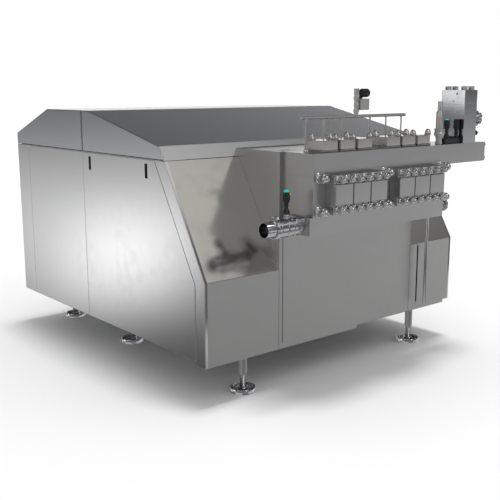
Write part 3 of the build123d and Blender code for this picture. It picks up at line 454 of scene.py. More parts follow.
class Nodes:
    """Short calls for building a node tree."""

    def __init__(self, tree: bpy.types.NodeTree) -> None:
        """Starts on a tree."""
        self.tree = tree

    def add(self, kind: str, inputs: dict[str | int, object] | None = None,
            **settings: object) -> bpy.types.Node:
        """Adds a node.

        Args:
            kind: Blender's name of the node.
            inputs: values or sockets by input name or number.
            settings: properties of the node.

        Returns:
            The new node.
        """
        node = self.tree.nodes.new(kind)
        for name, value in settings.items():
            setattr(node, name, value)
        self.feed(node, inputs or {})
        return node

    def feed(self, node: bpy.types.Node, inputs: dict[str | int, object]) -> None:
        """Sets inputs of a node, with a link where the value is an output of another node.

        Args:
            node: the node.
            inputs: values or sockets by input name or number.
        """
        for name, value in inputs.items():
            if isinstance(value, bpy.types.NodeSocket):
                self.tree.links.new(value, node.inputs[name])
            else:
                node.inputs[name].default_value = value

    def math(self, operation: str, *values: object) -> bpy.types.NodeSocket:
        """Adds a maths node and gives its result."""
        node = self.add("ShaderNodeMath", dict(enumerate(values)), operation=operation)
        return node.outputs[0]

    def remap(self, value: bpy.types.NodeSocket, low: float, high: float, to_low: float,
              to_high: float, smooth: bool = False) -> bpy.types.NodeSocket:
        """Maps a value from one range to another, held inside it.

        Args:
            value: the output that is mapped.
            low: where its range starts.
            high: where its range ends.
            to_low: result at the start.
            to_high: result at the end.
            smooth: eases in and out, where a plain map is a straight line.

        Returns:
            The mapped output.
        """
        kind = "SMOOTHSTEP" if smooth else "LINEAR"
        node = self.add("ShaderNodeMapRange", {0: value, 1: low, 2: high, 3: to_low, 4: to_high},
                        interpolation_type=kind)
        return node.outputs[0]


def new_material(name: str) -> tuple[bpy.types.Material, Nodes, bpy.types.Node]:
    """Makes a material.

    Args:
        name: the material's name.

    Returns:
        The material, its node tree and its Principled shader.
    """
    material = bpy.data.materials.new(name)
    material.use_nodes = True
    n = Nodes(material.node_tree)
    return material, n, n.tree.nodes["Principled BSDF"]


class SharedGroups:
    """Node groups that several finishes use, each built once."""

    def __init__(self) -> None:
        """Builds the groups."""
        self.grain = self._grain()
        self.wipes = self._wipes()

    @staticmethod
    def _grain() -> bpy.types.NodeTree:
        """Brushed lines: noise stretched along the grain, as colour, roughness and height.

        Returns:
            The node group.
        """
        tree = bpy.data.node_groups.new("brushed_grain", "ShaderNodeTree")
        for name, value in (("Across X", 60.0), ("Across Y", 60.0), ("Across Z", 60.0),
                            ("Roughness", 0.3), ("Spread", 0.06), ("Tone", 0.05)):
            group_socket(tree, name, "NodeSocketFloat", value=value)
        group_socket(tree, "Tint", "NodeSocketColor")
        group_socket(tree, "Color", "NodeSocketColor", out=True)
        group_socket(tree, "Roughness", "NodeSocketFloat", out=True)
        group_socket(tree, "Height", "NodeSocketFloat", out=True)
        n = Nodes(tree)
        source, result = n.add("NodeGroupInput"), n.add("NodeGroupOutput")
        place = n.add("ShaderNodeTexCoord").outputs["Object"]
        scale = n.add("ShaderNodeCombineXYZ", {i: source.outputs[i] for i in range(3)})
        stretched = n.add("ShaderNodeVectorMath", {0: place, 1: scale.outputs[0]},
                          operation="MULTIPLY").outputs[0]
        fine = n.add("ShaderNodeTexNoise", {"Vector": stretched, "Scale": 1.0, "Detail": 6.0,
                                            "Roughness": 0.72}).outputs["Fac"]
        signed = n.math("SUBTRACT", fine, 0.5)
        rough = n.math("MULTIPLY_ADD", signed, source.outputs["Spread"], source.outputs["Roughness"])
        tone = n.math("MULTIPLY_ADD", signed, source.outputs["Tone"], 1.0)
        tint = n.add("ShaderNodeVectorMath", {0: source.outputs["Tint"], "Scale": tone},
                     operation="SCALE")
        n.feed(result, {"Color": tint.outputs[0], "Roughness": rough, "Height": fine})
        return tree

    @staticmethod
    def _wipes() -> bpy.types.NodeTree:
        """Wipe marks and handling: two sizes of soft clouds that lift the roughness a little.

        Returns:
            The node group.
        """
        finer_by, cloud_low, cloud_high = 7.0, 0.2, 0.38
        tree = bpy.data.node_groups.new("wipe_marks", "ShaderNodeTree")
        group_socket(tree, "Roughness", "NodeSocketFloat", value=0.3)
        group_socket(tree, "Amount", "NodeSocketFloat", value=0.05)
        group_socket(tree, "Size", "NodeSocketFloat", value=1.6)
        group_socket(tree, "Roughness", "NodeSocketFloat", out=True)
        n = Nodes(tree)
        source, result = n.add("NodeGroupInput"), n.add("NodeGroupOutput")
        place = n.add("ShaderNodeTexCoord").outputs["Object"]
        broad = n.add("ShaderNodeTexNoise", {"Vector": place, "Scale": source.outputs["Size"],
                                             "Detail": 3.0, "Distortion": 0.6}).outputs["Fac"]
        finer_scale = n.math("MULTIPLY", source.outputs["Size"], finer_by)
        finer = n.add("ShaderNodeTexNoise", {"Vector": place, "Scale": finer_scale,
                                             "Detail": 4.0}).outputs["Fac"]
        both = n.math("MULTIPLY", broad, finer)
        marks = n.remap(both, cloud_low, cloud_high, 0.0, 1.0, True)
        rough = n.math("MULTIPLY_ADD", marks, source.outputs["Amount"], source.outputs["Roughness"])
        n.feed(result, {"Roughness": rough})
        return tree


class Grain(Enum):
    """Which way a brushed finish runs, as the noise scales along X, Y and Z."""

    UPRIGHT = (420.0, 420.0, 5.0)
    ALONG_X = (5.0, 420.0, 420.0)
    EVEN = (300.0, 300.0, 300.0)


@dataclass(frozen=True)
class SteelFinish:
    """A stainless-steel finish: its tint, how rough it is and how its grain runs."""

    name: str
    tint: tuple[float, float, float]
    roughness: float
    grain: Grain = Grain.UPRIGHT
    spread: float = 0.08
    tone: float = 0.06
    wipes: float = 0.04
    wipe_size: float = 1.6
    bump: float = 0.02

    def build(self, groups: SharedGroups) -> bpy.types.Material:
        """Makes the material.

        Args:
            groups: the shared node groups.

        Returns:
            The material.
        """
        material, n, shader = new_material(self.name)
        grain = n.add("ShaderNodeGroup",
                      {**dict(enumerate(self.grain.value)), "Roughness": self.roughness,
                       "Spread": self.spread, "Tone": self.tone, "Tint": (*self.tint, 1.0)},
                      node_tree=groups.grain)
        wipes = n.add("ShaderNodeGroup", {"Roughness": grain.outputs["Roughness"],
                                          "Amount": self.wipes, "Size": self.wipe_size},
                      node_tree=groups.wipes)
        bump = n.add("ShaderNodeBump", {"Height": grain.outputs["Height"], "Strength": self.bump,
                                        "Distance": 0.0005})
        n.feed(shader, {"Base Color": grain.outputs["Color"],
                        "Roughness": wipes.outputs["Roughness"], "Normal": bump.outputs[0],
                        "Metallic": 1.0})
        return material


@dataclass(frozen=True)
class CoatedFinish:
    """Paint, plastic or rubber: a tint with fine texture and soft wear in its roughness."""

    name: str
    tint: tuple[float, float, float]
    roughness: float
    texture_scale: float
    bump: float
    coat: float = 0.0
    glow: float = 0.0

    def build(self, groups: SharedGroups) -> bpy.types.Material:
        """Makes the material.

        Args:
            groups: the shared node groups.

        Returns:
            The material.
        """
        material, n, shader = new_material(self.name)
        place = n.add("ShaderNodeTexCoord").outputs["Object"]
        noise = n.add("ShaderNodeTexNoise", {"Vector": place, "Scale": self.texture_scale,
                                             "Detail": 3.0}).outputs["Fac"]
        darkest, lightest = 0.82, 1.12
        tone = n.remap(noise, 0.3, 0.7, darkest, lightest)
        tint = n.add("ShaderNodeVectorMath", {0: self.tint, "Scale": tone}, operation="SCALE")
        wipes = n.add("ShaderNodeGroup", {"Roughness": self.roughness, "Amount": 0.14,
                                          "Size": 14.0}, node_tree=groups.wipes)
        bump = n.add("ShaderNodeBump", {"Height": noise, "Strength": self.bump,
                                        "Distance": 0.0004})
        n.feed(shader, {"Base Color": tint.outputs[0], "Roughness": wipes.outputs["Roughness"],
                        "Normal": bump.outputs[0], "Coat Weight": self.coat})
        if self.glow:
            n.feed(shader, {"Emission Color": tint.outputs[0], "Emission Strength": self.glow})
        return material


class Finish(Enum):
    """Every finish on the machine."""

    SIDE = SteelFinish("satin_side_sheet", (0.70, 0.70, 0.70), 0.17, spread=0.05, wipes=0.015,
                       bump=0.008)
    FRONT = SteelFinish("satin_front_sheet", (0.56, 0.555, 0.545), 0.32, tone=0.12, bump=0.04,
                        wipes=0.02)
    ROOF = SteelFinish("satin_roof_sheet", (0.64, 0.65, 0.665), 0.22, Grain.ALONG_X, spread=0.05,
                       wipes=0.015, bump=0.008)
    MIRROR = SteelFinish("polished_leaning_sheet", (0.60, 0.585, 0.56), 0.14, spread=0.04,
                         wipes=0.05, bump=0.01)
    FRAME = SteelFinish("frame_tube", (0.52, 0.52, 0.52), 0.38, Grain.EVEN)
    FORGED = SteelFinish("ground_forging", (0.56, 0.56, 0.555), 0.30, Grain.ALONG_X, spread=0.04,
                         tone=0.04, wipes=0.02, bump=0.006)
    COVER = SteelFinish("ground_cover", (0.66, 0.645, 0.62), 0.26, Grain.EVEN, spread=0.04,
                        tone=0.04, wipes=0.02, bump=0.008)
    TOWER = SteelFinish("ground_tower", (0.60, 0.61, 0.625), 0.14, Grain.EVEN, spread=0.05,
                        tone=0.05, wipes=0.04, wipe_size=4.0, bump=0.008)
    NUT = SteelFinish("polished_nut", (0.74, 0.74, 0.75), 0.19, Grain.EVEN, spread=0.03,
                      wipes=0.02, bump=0.004)
    SATIN = SteelFinish("satin_fitting", (0.80, 0.79, 0.77), 0.36, Grain.EVEN, spread=0.05,
                        tone=0.05, wipes=0.03, bump=0.006)
    PIPE = SteelFinish("polished_tube", (0.76, 0.76, 0.77), 0.07, Grain.EVEN, spread=0.03,
                       wipes=0.02, bump=0.004)
    FOOT = SteelFinish("polished_foot", (0.68, 0.68, 0.69), 0.12, Grain.EVEN, spread=0.03,
                       wipes=0.03, bump=0.006)
    MACHINED = SteelFinish("machined_steel", (0.55, 0.55, 0.56), 0.25, Grain.EVEN)
    CASTING = CoatedFinish("grey_casting_enamel", (0.16, 0.18, 0.20), 0.42, 260.0, 0.25)
    MOTOR = CoatedFinish("blue_grey_enamel", (0.09, 0.14, 0.19), 0.38, 260.0, 0.2)
    BLACK = CoatedFinish("black_moulding", (0.012, 0.013, 0.015), 0.34, 900.0, 0.15, 0.15)
    TEAL = CoatedFinish("teal_lens", (0.0, 0.50, 0.36), 0.18, 300.0, 0.02, 0.6, 0.35)
    YELLOW = CoatedFinish("yellow_lens", (0.62, 0.52, 0.02), 0.22, 300.0, 0.02, 0.6, 0.25)
    RUBBER = CoatedFinish("belt_rubber", (0.02, 0.02, 0.02), 0.62, 500.0, 0.3)
    # near-black sheet behind slots, seams and grooves: painted shade standing in for the dark inside
    # of the cabinet
    SHADE_SHEET = CoatedFinish("painted_shade_sheet", (0.006, 0.006, 0.006), 0.7, 500.0, 0.1)


# Workshop


class Workshop:
    """Makes pieces from surfaces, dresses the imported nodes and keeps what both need."""

    def __init__(self, frame: dict[str, object]) -> None:
        """Reads the frame and builds the finishes.
        """
        self.nodes: dict[str, bpy.types.Object] = frame["nodes"]
        record = frame["record"]
        self.slots = {row["node"]: row["material_slot"] for row in record["subparts"]}
        self.bodies = {node: body for body, members in record["behaviour"]["bodies"].items()
                       for node in members}
        groups = SharedGroups()
        self.materials = {finish: finish.value.build(groups) for finish in Finish}
        low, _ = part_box("pump_block")
        block_left, block_depth = 727.0, 322.0
        self.zero = np.array((low.x - block_left * MM, low.y + block_depth * MM, 0.0))

    def at(self, x: float, y: float, z: float) -> Array:
        """Turns a place in the machine's own millimetres into metres in the frame."""
        return self.zero + np.array((x, y, z)) * MM

    def piece(self, name: str, surface: Surface, finish: Finish, node: str,
              thickness: float = 0.0, bevel: float = 0.0, cutters: Sequence[Surface] = (),
              smooth: float = 32.0, extra: bool = False) -> bpy.types.Object:
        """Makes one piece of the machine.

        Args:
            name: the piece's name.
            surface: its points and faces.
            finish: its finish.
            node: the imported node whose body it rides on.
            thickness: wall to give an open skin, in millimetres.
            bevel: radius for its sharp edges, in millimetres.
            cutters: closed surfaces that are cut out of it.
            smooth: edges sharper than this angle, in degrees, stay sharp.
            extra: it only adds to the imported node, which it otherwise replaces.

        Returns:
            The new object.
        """
        shell = self._mesh_object(name, surface)
        if bevel and thickness:
            self._bevel(shell, bevel)
        if thickness:
            wall = shell.modifiers.new("wall", "SOLIDIFY")
            wall.thickness, wall.offset, wall.use_even_offset = thickness * MM, -1.0, True
        tools = self._cut(shell, cutters)
        if bevel and not thickness:
            self._bevel(shell, bevel)
        self._settle(shell, smooth, tools)
        return self._register(shell, finish, node, () if extra else (node,))

    def softened(self, node: str, finish: Finish, bevel: float,
                 cutters: Sequence[Surface] = ()) -> bpy.types.Object:
        """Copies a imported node, joins its loose triangles and rounds its sharp edges.

        Args:
            node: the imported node, which the copy replaces.
            finish: the copy's finish.
            bevel: radius of the edges, in millimetres.
            cutters: closed surfaces that are cut out of it.

        Returns:
            The new object.
        """
        mesh = self.nodes[node].data.copy()
        mesh.name = f"{node}_dressed"
        work = bmesh.new()
        work.from_mesh(mesh)
        joined_within, flat_within = 2e-5, math.radians(0.6)
        bmesh.ops.remove_doubles(work, verts=work.verts, dist=joined_within)
        bmesh.ops.dissolve_limit(work, angle_limit=flat_within, verts=work.verts, edges=work.edges)
        work.to_mesh(mesh)
        work.free()
        copy = bpy.data.objects.new(f"{node}_dressed", mesh)
        bpy.context.scene.collection.objects.link(copy)
        tools = self._cut(copy, cutters)
        self._bevel(copy, bevel)
        self._settle(copy, 32.0, tools)
        return self._register(copy, finish, node, (node,))

    def dress(self, node: str, finish: Finish) -> None:
        """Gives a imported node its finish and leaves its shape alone.

        Args:
            node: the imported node.
            finish: its finish.
        """
        materials = self.nodes[node].data.materials
        materials.clear()
        materials.append(self.materials[finish])
        LOG.info("node %s: %s", node, finish.value.name)

    def _mesh_object(self, name: str, surface: Surface) -> bpy.types.Object:
        """Puts a surface into a mesh, joins its doubled points and turns its faces outwards.

        Args:
            name: name of the object and of its mesh.
            surface: the points and faces.

        Returns:
            The new object, in the scene.
        """
        mesh = bpy.data.meshes.new(name)
        faces = surface.quads.tolist() + [cap.tolist() for cap in surface.caps]
        mesh.from_pydata(surface.points.tolist(), [], faces)
        work = bmesh.new()
        work.from_mesh(mesh)
        joined_within = 1e-6
        bmesh.ops.remove_doubles(work, verts=work.verts, dist=joined_within)
        bmesh.ops.recalc_face_normals(work, faces=work.faces)
        work.to_mesh(mesh)
        work.free()
        thing = bpy.data.objects.new(name, mesh)
        bpy.context.scene.collection.objects.link(thing)
        return thing

    def _cut(self, thing: bpy.types.Object,
             cutters: Sequence[Surface]) -> list[bpy.types.Object]:
        """Adds a cut to an object for each cutter.

        Args:
            thing: the object.
            cutters: closed surfaces that are cut out of it.

        Returns:
            The helper objects, which go once the cuts are applied.
        """
        tools = []
        for number, cutter in enumerate(cutters):
            tool = self._mesh_object(f"{thing.name}_cut_{number}", cutter)
            cut = thing.modifiers.new(f"cut_{number}", "BOOLEAN")
            cut.operation, cut.solver, cut.object = "DIFFERENCE", "EXACT", tool
            tools.append(tool)
        return tools

    @staticmethod
    def _bevel(thing: bpy.types.Object, width: float, angle: float = 33.0) -> None:
        """Rounds an object's edges.

        Args:
            thing: the object.
            width: width of the rounding, in millimetres.
            angle: edges flatter than this, in degrees, stay as they are.
        """
        edge = thing.modifiers.new("edge", "BEVEL")
        edge.width, edge.segments, edge.limit_method = width * MM, 2, "ANGLE"
        edge.angle_limit = math.radians(angle)
        edge.use_clamp_overlap = True

    @staticmethod
    def _settle(thing: bpy.types.Object, smooth: float,
                tools: Sequence[bpy.types.Object]) -> None:
        """Applies the modifiers, then smooths the faces up to an angle and evens their normals.

        Args:
            thing: the object.
            smooth: edges sharper than this angle, in degrees, stay sharp.
            tools: helper objects of its cuts, which are deleted.
        """
        changed = bool(thing.modifiers)
        if changed:
            Workshop._apply(thing)
        mesh = thing.data
        mesh.polygons.foreach_set("use_smooth", np.ones(len(mesh.polygons), bool))
        mesh.set_sharp_from_angle(angle=math.radians(smooth))
        if changed:
            flat = thing.modifiers.new("flat", "WEIGHTED_NORMAL")
            flat.keep_sharp = True
            Workshop._apply(thing)
        for tool in tools:
            cutter = tool.data
            bpy.data.objects.remove(tool)
            bpy.data.meshes.remove(cutter)

    @staticmethod
    def _apply(thing: bpy.types.Object) -> None:
        """Swaps an object's mesh for the one that its modifiers make.

        Args:
            thing: the object, which keeps no modifier.
        """
        graph = bpy.context.evaluated_depsgraph_get()
        fresh = bpy.data.meshes.new_from_object(thing.evaluated_get(graph))
        thing.modifiers.clear()
        old = thing.data
        fresh.name = thing.name
        thing.data = fresh
        bpy.data.meshes.remove(old)

    def _register(self, thing: bpy.types.Object, finish: Finish, node: str,
                  replaced: Sequence[str]) -> bpy.types.Object:
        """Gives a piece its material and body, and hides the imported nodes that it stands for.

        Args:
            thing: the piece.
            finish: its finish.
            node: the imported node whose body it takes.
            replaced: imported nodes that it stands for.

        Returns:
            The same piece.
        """
        thing.data.materials.clear()
        thing.data.materials.append(self.materials[finish])
        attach(thing, self.bodies[node])
        if replaced:
            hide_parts(*replaced)
        LOG.info("piece %s on %s: %d faces", thing.name, self.bodies[node], len(thing.data.polygons))
        return thing


# Cabinet


@dataclass
class Cabinet:
    """Panels, corner posts, middle housing and roof hoods, in millimetres."""

    shop: Workshop
    width: float = 2800.0
    depth: float = 3000.0
    skirt: float = 300.0
    step: float = 26.0
    knee: float = 928.0
    lean: float = math.radians(30.0)
    seam_height: float = 1750.0
    eave: float = 1854.0
    ridge: float = 2089.0
    ridge_front: float = 1580.0
    ridge_back: float = 2338.0
    split: float = 1700.0
    sheet: float = 3.0
    leaning_sheet: float = 2.0
    fold: float = 22.0
    leaning_fold: float = 3.0
    gap: float = 4.0
    knee_gap: float = 1.0
    hood_roll: float = 7.0
    housing_roll: float = 6.0
    side_roll: float = 4.0
    front_roll: float = 3.0
    leaning_roll: float = 1.5
    post: float = 112.0
    rear_post: float = 243.0
    housing_left: float = 694.0
    housing_right: float = 2225.0
    housing_top: float = 1811.0
    housing_step: float = 1574.0
    slot: Plate = Plate((19.0, 56.0), 40.0, 8.0)
    slot_drop: float = 87.0
    slot_spacing: float = 864.0
    # slot_back, groove_back and joint_back size near-black sheets behind the openings: painted shade
    # of the cabinet's inside
    slot_back: Plate = Plate((25.0, 62.0), 1.6, 8.0)
    slot_back_inside: float = 4.2
    filler_half: float = 1.7
    filler_end: float = 8.0
    filler_sheet: float = 2.0
    filler_corner: float = 0.4
    filler_inside: float = 2.2
    notch: float = 2721.0
    notch_height: float = 26.0
    groove: Plate = Plate((9.0, 260.0), 30.0, 8.0)
    groove_place: tuple[float, float, float] = (2330.0, 0.0, 655.0)
    groove_back: Plate = Plate((20.0, 270.0), 3.0, 8.0)
    groove_back_place: tuple[float, float, float] = (2330.0, 9.0, 655.0)
    louvre: Plate = Plate((5.0, 65.0), 30.0, 4.0)
    louvre_count: int = 6
    louvre_pitch: float = 28.0
    louvre_start: float = 731.5
    louvre_y: float = 85.0
    joint: Plate = Plate((3.0, 742.0), 12.0, 2.0)
    joint_place: tuple[float, float, float] = (732.0, 0.0, 1085.0)
    joint_back: Plate = Plate((9.0, 736.0), 3.0, 2.0)
    joint_back_place: tuple[float, float, float] = (732.0, 6.0, 1069.0)
    opening: Plate = Plate((718.0, 183.0), 30.0, 4.0)
    opening_place: tuple[float, float, float] = (1476.0, 0.0, 1436.0)
    cooling: Plate = Plate((210.0, 6.0), 30.0, 5.9)
    cooling_rows: int = 8
    cooling_pitch: float = 40.0
    cooling_drop: float = 194.0
    cooling_offset: float = 560.0

    @property
    def low(self) -> float:
        """Lower edge of the panels."""
        return self.skirt + self.step

    @property
    def top(self) -> float:
        """Upper edge of the panels."""
        return self.seam_height - self.gap / 2

    def lean_y(self, z: float) -> float:
        """Depth of the leaning front at a height."""
        return max(0.0, (z - self.knee) * math.tan(self.lean))

    def walls(self) -> dict[str, Wall]:
        """Works out the flat sides that panels lie in.

        Returns:
            The sides by name.
        """
        origin, far = self.shop.at(0, 0, 0), self.shop.at(self.width, self.depth, 0)
        right = np.array((far[0], origin[1], 0.0))
        rear = np.array((origin[0], far[1], 0.0))
        slope = np.array((0.0, math.sin(self.lean), math.cos(self.lean)))
        into = np.array((0.0, math.cos(self.lean), -math.sin(self.lean)))
        return {
            "left": Wall(origin, Y_AXIS, Z_AXIS, X_AXIS),
            "right": Wall(right, Y_AXIS, Z_AXIS, -X_AXIS),
            "front": Wall(origin, X_AXIS, Z_AXIS, Y_AXIS),
            "rear": Wall(rear, X_AXIS, Z_AXIS, -Y_AXIS),
            "leaning": Wall(self.shop.at(0, 0, self.knee), X_AXIS, slope, into),
        }

    def build(self) -> None:
        """Builds every sheet of the cabinet."""
        self._sides()
        self._front()
        self._housing()
        self._rear()
        self._roof()

    def _front_plate(self, place: tuple[float, float, float], size: Plate) -> Surface:
        """Makes a rounded plate that faces the front, at its middle's place."""
        return rounded_plate(self.shop.at(*place), X_AXIS, Z_AXIS, size)

    @staticmethod
    def _side_plate(wall: Wall, y: float, z: float, inside: float, size: Plate) -> Surface:
        """Makes a rounded plate that lies along a side.

        Args:
            wall: the side.
            y: middle of the plate in depth.
            z: its middle in height.
            inside: how far its middle lies behind the side.
            size: its sizes.

        Returns:
            The plate.
        """
        centre = wall.place(np.array([(y, z)]), inside)[0]
        return rounded_plate(centre, Y_AXIS, Z_AXIS, size)

    def _sides(self) -> None:
        """Lift-off panels, fixed panels behind them and the corner posts."""
        top, low = self.top, self.low
        run = self.post / math.cos(self.lean)
        bend = self.knee - (run - self.post) / math.tan(self.lean)
        lean_top = self.lean_y(top)
        front, middle = self.post + self.gap, self.split - self.gap / 2
        back = self.depth - self.rear_post
        panel = [(front, low), (middle, low), (middle, top), (lean_top + run + self.gap, top),
                 (front, bend)]
        fixed = [(middle + self.gap, low), (back - self.gap, low), (back - self.gap, top),
                 (middle + self.gap, top)]
        rear_post = [(back, low), (self.depth, low), (self.depth, top), (back, top)]
        centre = (run + lean_top + middle) / 2
        slot_ys = [centre + sign * self.slot_spacing / 2 for sign in (-1, 1)]
        slot_z = top - self.slot_drop
        fixed_pair, post_set, fillers = [], [], []
        for side, lift in (("left", 0.0), ("right", 2 * self.step)):
            wall, name = self.walls()[side], f"{side}_side_panel"
            slots = [self._side_plate(wall, y, slot_z, 0.0, self.slot) for y in slot_ys]
            # near-black sheets just behind the slots: painted shade of the recess behind each slot
            backs = [self._side_plate(wall, y, slot_z, self.slot_back_inside, self.slot_back)
                     for y in slot_ys]
            self.shop.piece(f"{name}_slot_backs", Surface.merged(backs), Finish.SHADE_SHEET, name,
                            extra=True)
            fillers += self._fillers(wall, back)
            self.shop.piece(f"{name}_skin", folded_sheet(wall, panel, self.side_roll, self.fold),
                            Finish.SIDE, name, self.sheet, cutters=slots)
            front_post = [(0, self.skirt + lift), (self.post, self.skirt + lift),
                          (self.post, bend), (lean_top + run, top), (lean_top, top), (0, self.knee)]
            fixed_pair.append(folded_sheet(wall, fixed, self.side_roll, self.fold))
            post_set += [folded_sheet(wall, outline, self.side_roll, self.fold)
                         for outline in (front_post, rear_post)]
        self.shop.piece("side_seam_fillers", Surface.merged(fillers), Finish.SIDE, "corner_posts",
                        extra=True)
        self.shop.piece("rear_side_skins", Surface.merged(fixed_pair), Finish.SIDE,
                        "rear_side_panels", self.sheet)
        self.shop.piece("corner_post_skins", Surface.merged(post_set), Finish.SIDE,
                        "corner_posts", self.sheet)

    def _fillers(self, wall: Wall, post_y: float) -> list[Surface]:
        """Strips that close the seams of a side from inside.

        Args:
            wall: the side.
            post_y: front edge of the rear post.

        Returns:
            Two strips between the panels, one in the gable and one under the roof.
        """
        middle, lean_top = (self.top + self.low) / 2, self.lean_y(self.top)
        upright = (self.filler_half, (self.top - self.low) / 2)
        gable = (self.filler_half, (self.ridge - self.seam_height) / 2 - self.filler_end)
        level = ((self.depth - lean_top) / 2 - self.filler_end, self.filler_half)
        strips = (
            (self.split, middle, upright),
            (post_y - self.gap / 2, middle, upright),
            (self.split, (self.seam_height + self.ridge) / 2, gable),
            ((lean_top + self.depth) / 2, self.seam_height, level),
        )
        return [self._side_plate(wall, y, z, self.filler_inside,
                                 Plate(half, self.filler_sheet, self.filler_corner))
                for y, z, half in strips]

    def _front(self) -> None:
        """Upright panels under the knee and polished leaning panels above it."""
        walls, low, top = self.walls(), self.low, self.knee - self.knee_gap
        end, notch_top = self.width - self.fold, self.low + self.notch_height
        left = [(self.fold, self.skirt), (self.housing_left, self.skirt), (self.housing_left, top),
                (self.fold, top)]
        right = [(self.housing_right, low), (self.notch, low), (self.notch, notch_top),
                 (end, notch_top), (end, top), (self.housing_right, top)]
        skins = [folded_sheet(walls["front"], outline, self.front_roll, self.fold)
                 for outline in (left, right)]
        groove = self._front_plate(self.groove_place, self.groove)
        # near-black sheet behind the groove: painted shade of the groove's inside
        backing = self._front_plate(self.groove_back_place, self.groove_back)
        self.shop.piece("drain_groove_painted_shade", backing, Finish.SHADE_SHEET, "lower_front_panels",
                        extra=True)
        self.shop.piece("lower_front_skins", Surface.merged(skins), Finish.FRONT,
                        "lower_front_panels", self.sheet, cutters=[groove])
        start, reach = self.knee_gap / 2, (self.top - self.knee) / math.cos(self.lean)
        leaning = [
            folded_sheet(walls["leaning"], [(x0, start), (x1, start), (x1, reach), (x0, reach)],
                         self.leaning_roll, self.leaning_fold)
            for x0, x1 in ((self.fold, self.housing_left), (self.housing_right, end))
        ]
        self.shop.piece("leaning_skins", Surface.merged(leaning), Finish.MIRROR, "slant_panels",
                        self.leaning_sheet)

    def _housing(self) -> None:
        """Middle housing: its front sheet folds back into the wings and the louvred top."""
        start = self.knee + self.fold / math.tan(self.lean)
        deep = self.lean_y(self.housing_top)
        left, right, stepped = self.housing_left, self.housing_right, self.housing_step
        outline = [(left, self.skirt), (stepped, self.skirt), (stepped, self.low),
                   (right, self.low), (right, start), (right, self.housing_top),
                   (left, self.housing_top), (left, start)]
        # The two upper corners fold back as far as the leaning front is there, into the top.
        depth = [self.fold] * 5 + [deep, deep, self.fold]
        louvres = [
            rounded_plate(self.shop.at(self.louvre_start + self.louvre_pitch * (index + 1),
                                       self.louvre_y, self.housing_top),
                          X_AXIS, Y_AXIS, self.louvre)
            for index in range(self.louvre_count)
        ]
        joint = self._front_plate(self.joint_place, self.joint)
        # near-black strip behind the joint slit: painted shade of the gap between housing and panel
        behind = self._front_plate(self.joint_back_place, self.joint_back)
        opening = self._front_plate(self.opening_place, self.opening)
        self.shop.piece("housing_joint_painted_shade", behind, Finish.SHADE_SHEET, "front_housing", extra=True)
        front = folded_sheet(self.walls()["front"], outline, self.housing_roll, depth)
        self.shop.piece("housing_skin", front, Finish.FRONT, "front_housing", self.sheet,
                        cutters=[*louvres, joint, opening])

    def _rear(self) -> None:
        """Rear panel with two fields of cooling slots."""
        low, top, end = self.low, self.top, self.width - self.fold
        outline = [(self.fold, low), (end, low), (end, top), (self.fold, top)]
        slots = [
            self._front_plate((self.width / 2 + side * self.cooling_offset, self.depth,
                               top - self.cooling_drop - row * self.cooling_pitch), self.cooling)
            for side in (-1, 1) for row in range(self.cooling_rows)
        ]
        rear = folded_sheet(self.walls()["rear"], outline, self.front_roll, self.fold)
        self.shop.piece("rear_skin", rear, Finish.SIDE, "rear_panel", self.sheet, cutters=slots)

    def _roof(self) -> None:
        """Two hoods: bent top sheets that roll over into their gables."""
        base, bends_kept = self.seam_height + self.gap / 2, 9.0
        front_edge, back_edge = self.split - self.gap / 2, self.split + self.gap / 2
        front = [(self.lean_y(base), base), (front_edge, base), (front_edge, self.ridge),
                 (self.ridge_front, self.ridge), (self.lean_y(self.eave), self.eave)]
        rear = [(back_edge, base), (self.depth, base), (self.depth, self.eave),
                (self.ridge_back, self.ridge), (back_edge, self.ridge)]
        for name, outline, dropped in (("roof_front_hood", front, (0, 1)),
                                       ("roof_rear_hood", rear, (0, 4))):
            self.shop.piece(f"{name}_skin", self._hood(np.array(outline), dropped), Finish.ROOF,
                            name, self.sheet, smooth=bends_kept)

    def _hood(self, outline: Array, dropped: tuple[int, ...], steps: int = 13) -> Surface:
        """Prism along X whose two ends roll over by a quarter circle into flat gables.

        Level k lies at x = R(1 - sin a) with the outline moved in by R(1 - cos a), mirrored for
        the other end.

        Args:
            outline: counter-clockwise corners in Y and Z.
            dropped: sides of the outline that stay open.
            steps: levels on each rolled edge.

        Returns:
            The outer skin, open at the dropped sides.
        """
        turn = np.linspace(math.pi / 2, 0, steps)
        insets = self.hood_roll * (1 - np.cos(turn))
        places = self.hood_roll * (1 - np.sin(turn))
        xs = np.concatenate([places, (self.width - places)[::-1]])
        insets = np.concatenate([insets, insets[::-1]])
        rows = []
        for x, inset in zip(xs, insets):
            flat = inward_offset(outline, inset)
            rows.append(np.column_stack([np.full(len(flat), x), flat]))
        count = len(outline)
        points = self.shop.zero + np.vstack(rows) * MM
        quads = grid_quads(len(rows), count, False, True)
        side = np.tile(np.arange(count), len(rows) - 1)
        caps = [np.arange(count)[::-1], np.arange(count) + (len(rows) - 1) * count]
        return Surface(points, quads[~np.isin(side, dropped)], caps)


# Pump


@dataclass(frozen=True)
class SeatedNut:
    """A cap nut on its washer, in millimetres."""

    washer: tuple[tuple[float, float], ...]
    seat: float
    corner: float
    length: float
    sides: int

    def surfaces(self, origin: Array, axis: Array) -> list[Surface]:
        """Makes the washer and the nut.

        Args:
            origin: middle of the washer's seat, in metres.
            axis: direction of the stud.

        Returns:
            The two surfaces.
        """
        return [lathe(self.washer, origin, axis, self.sides),
                cap_nut(origin + axis * self.seat * MM, axis, self.corner, self.length)]


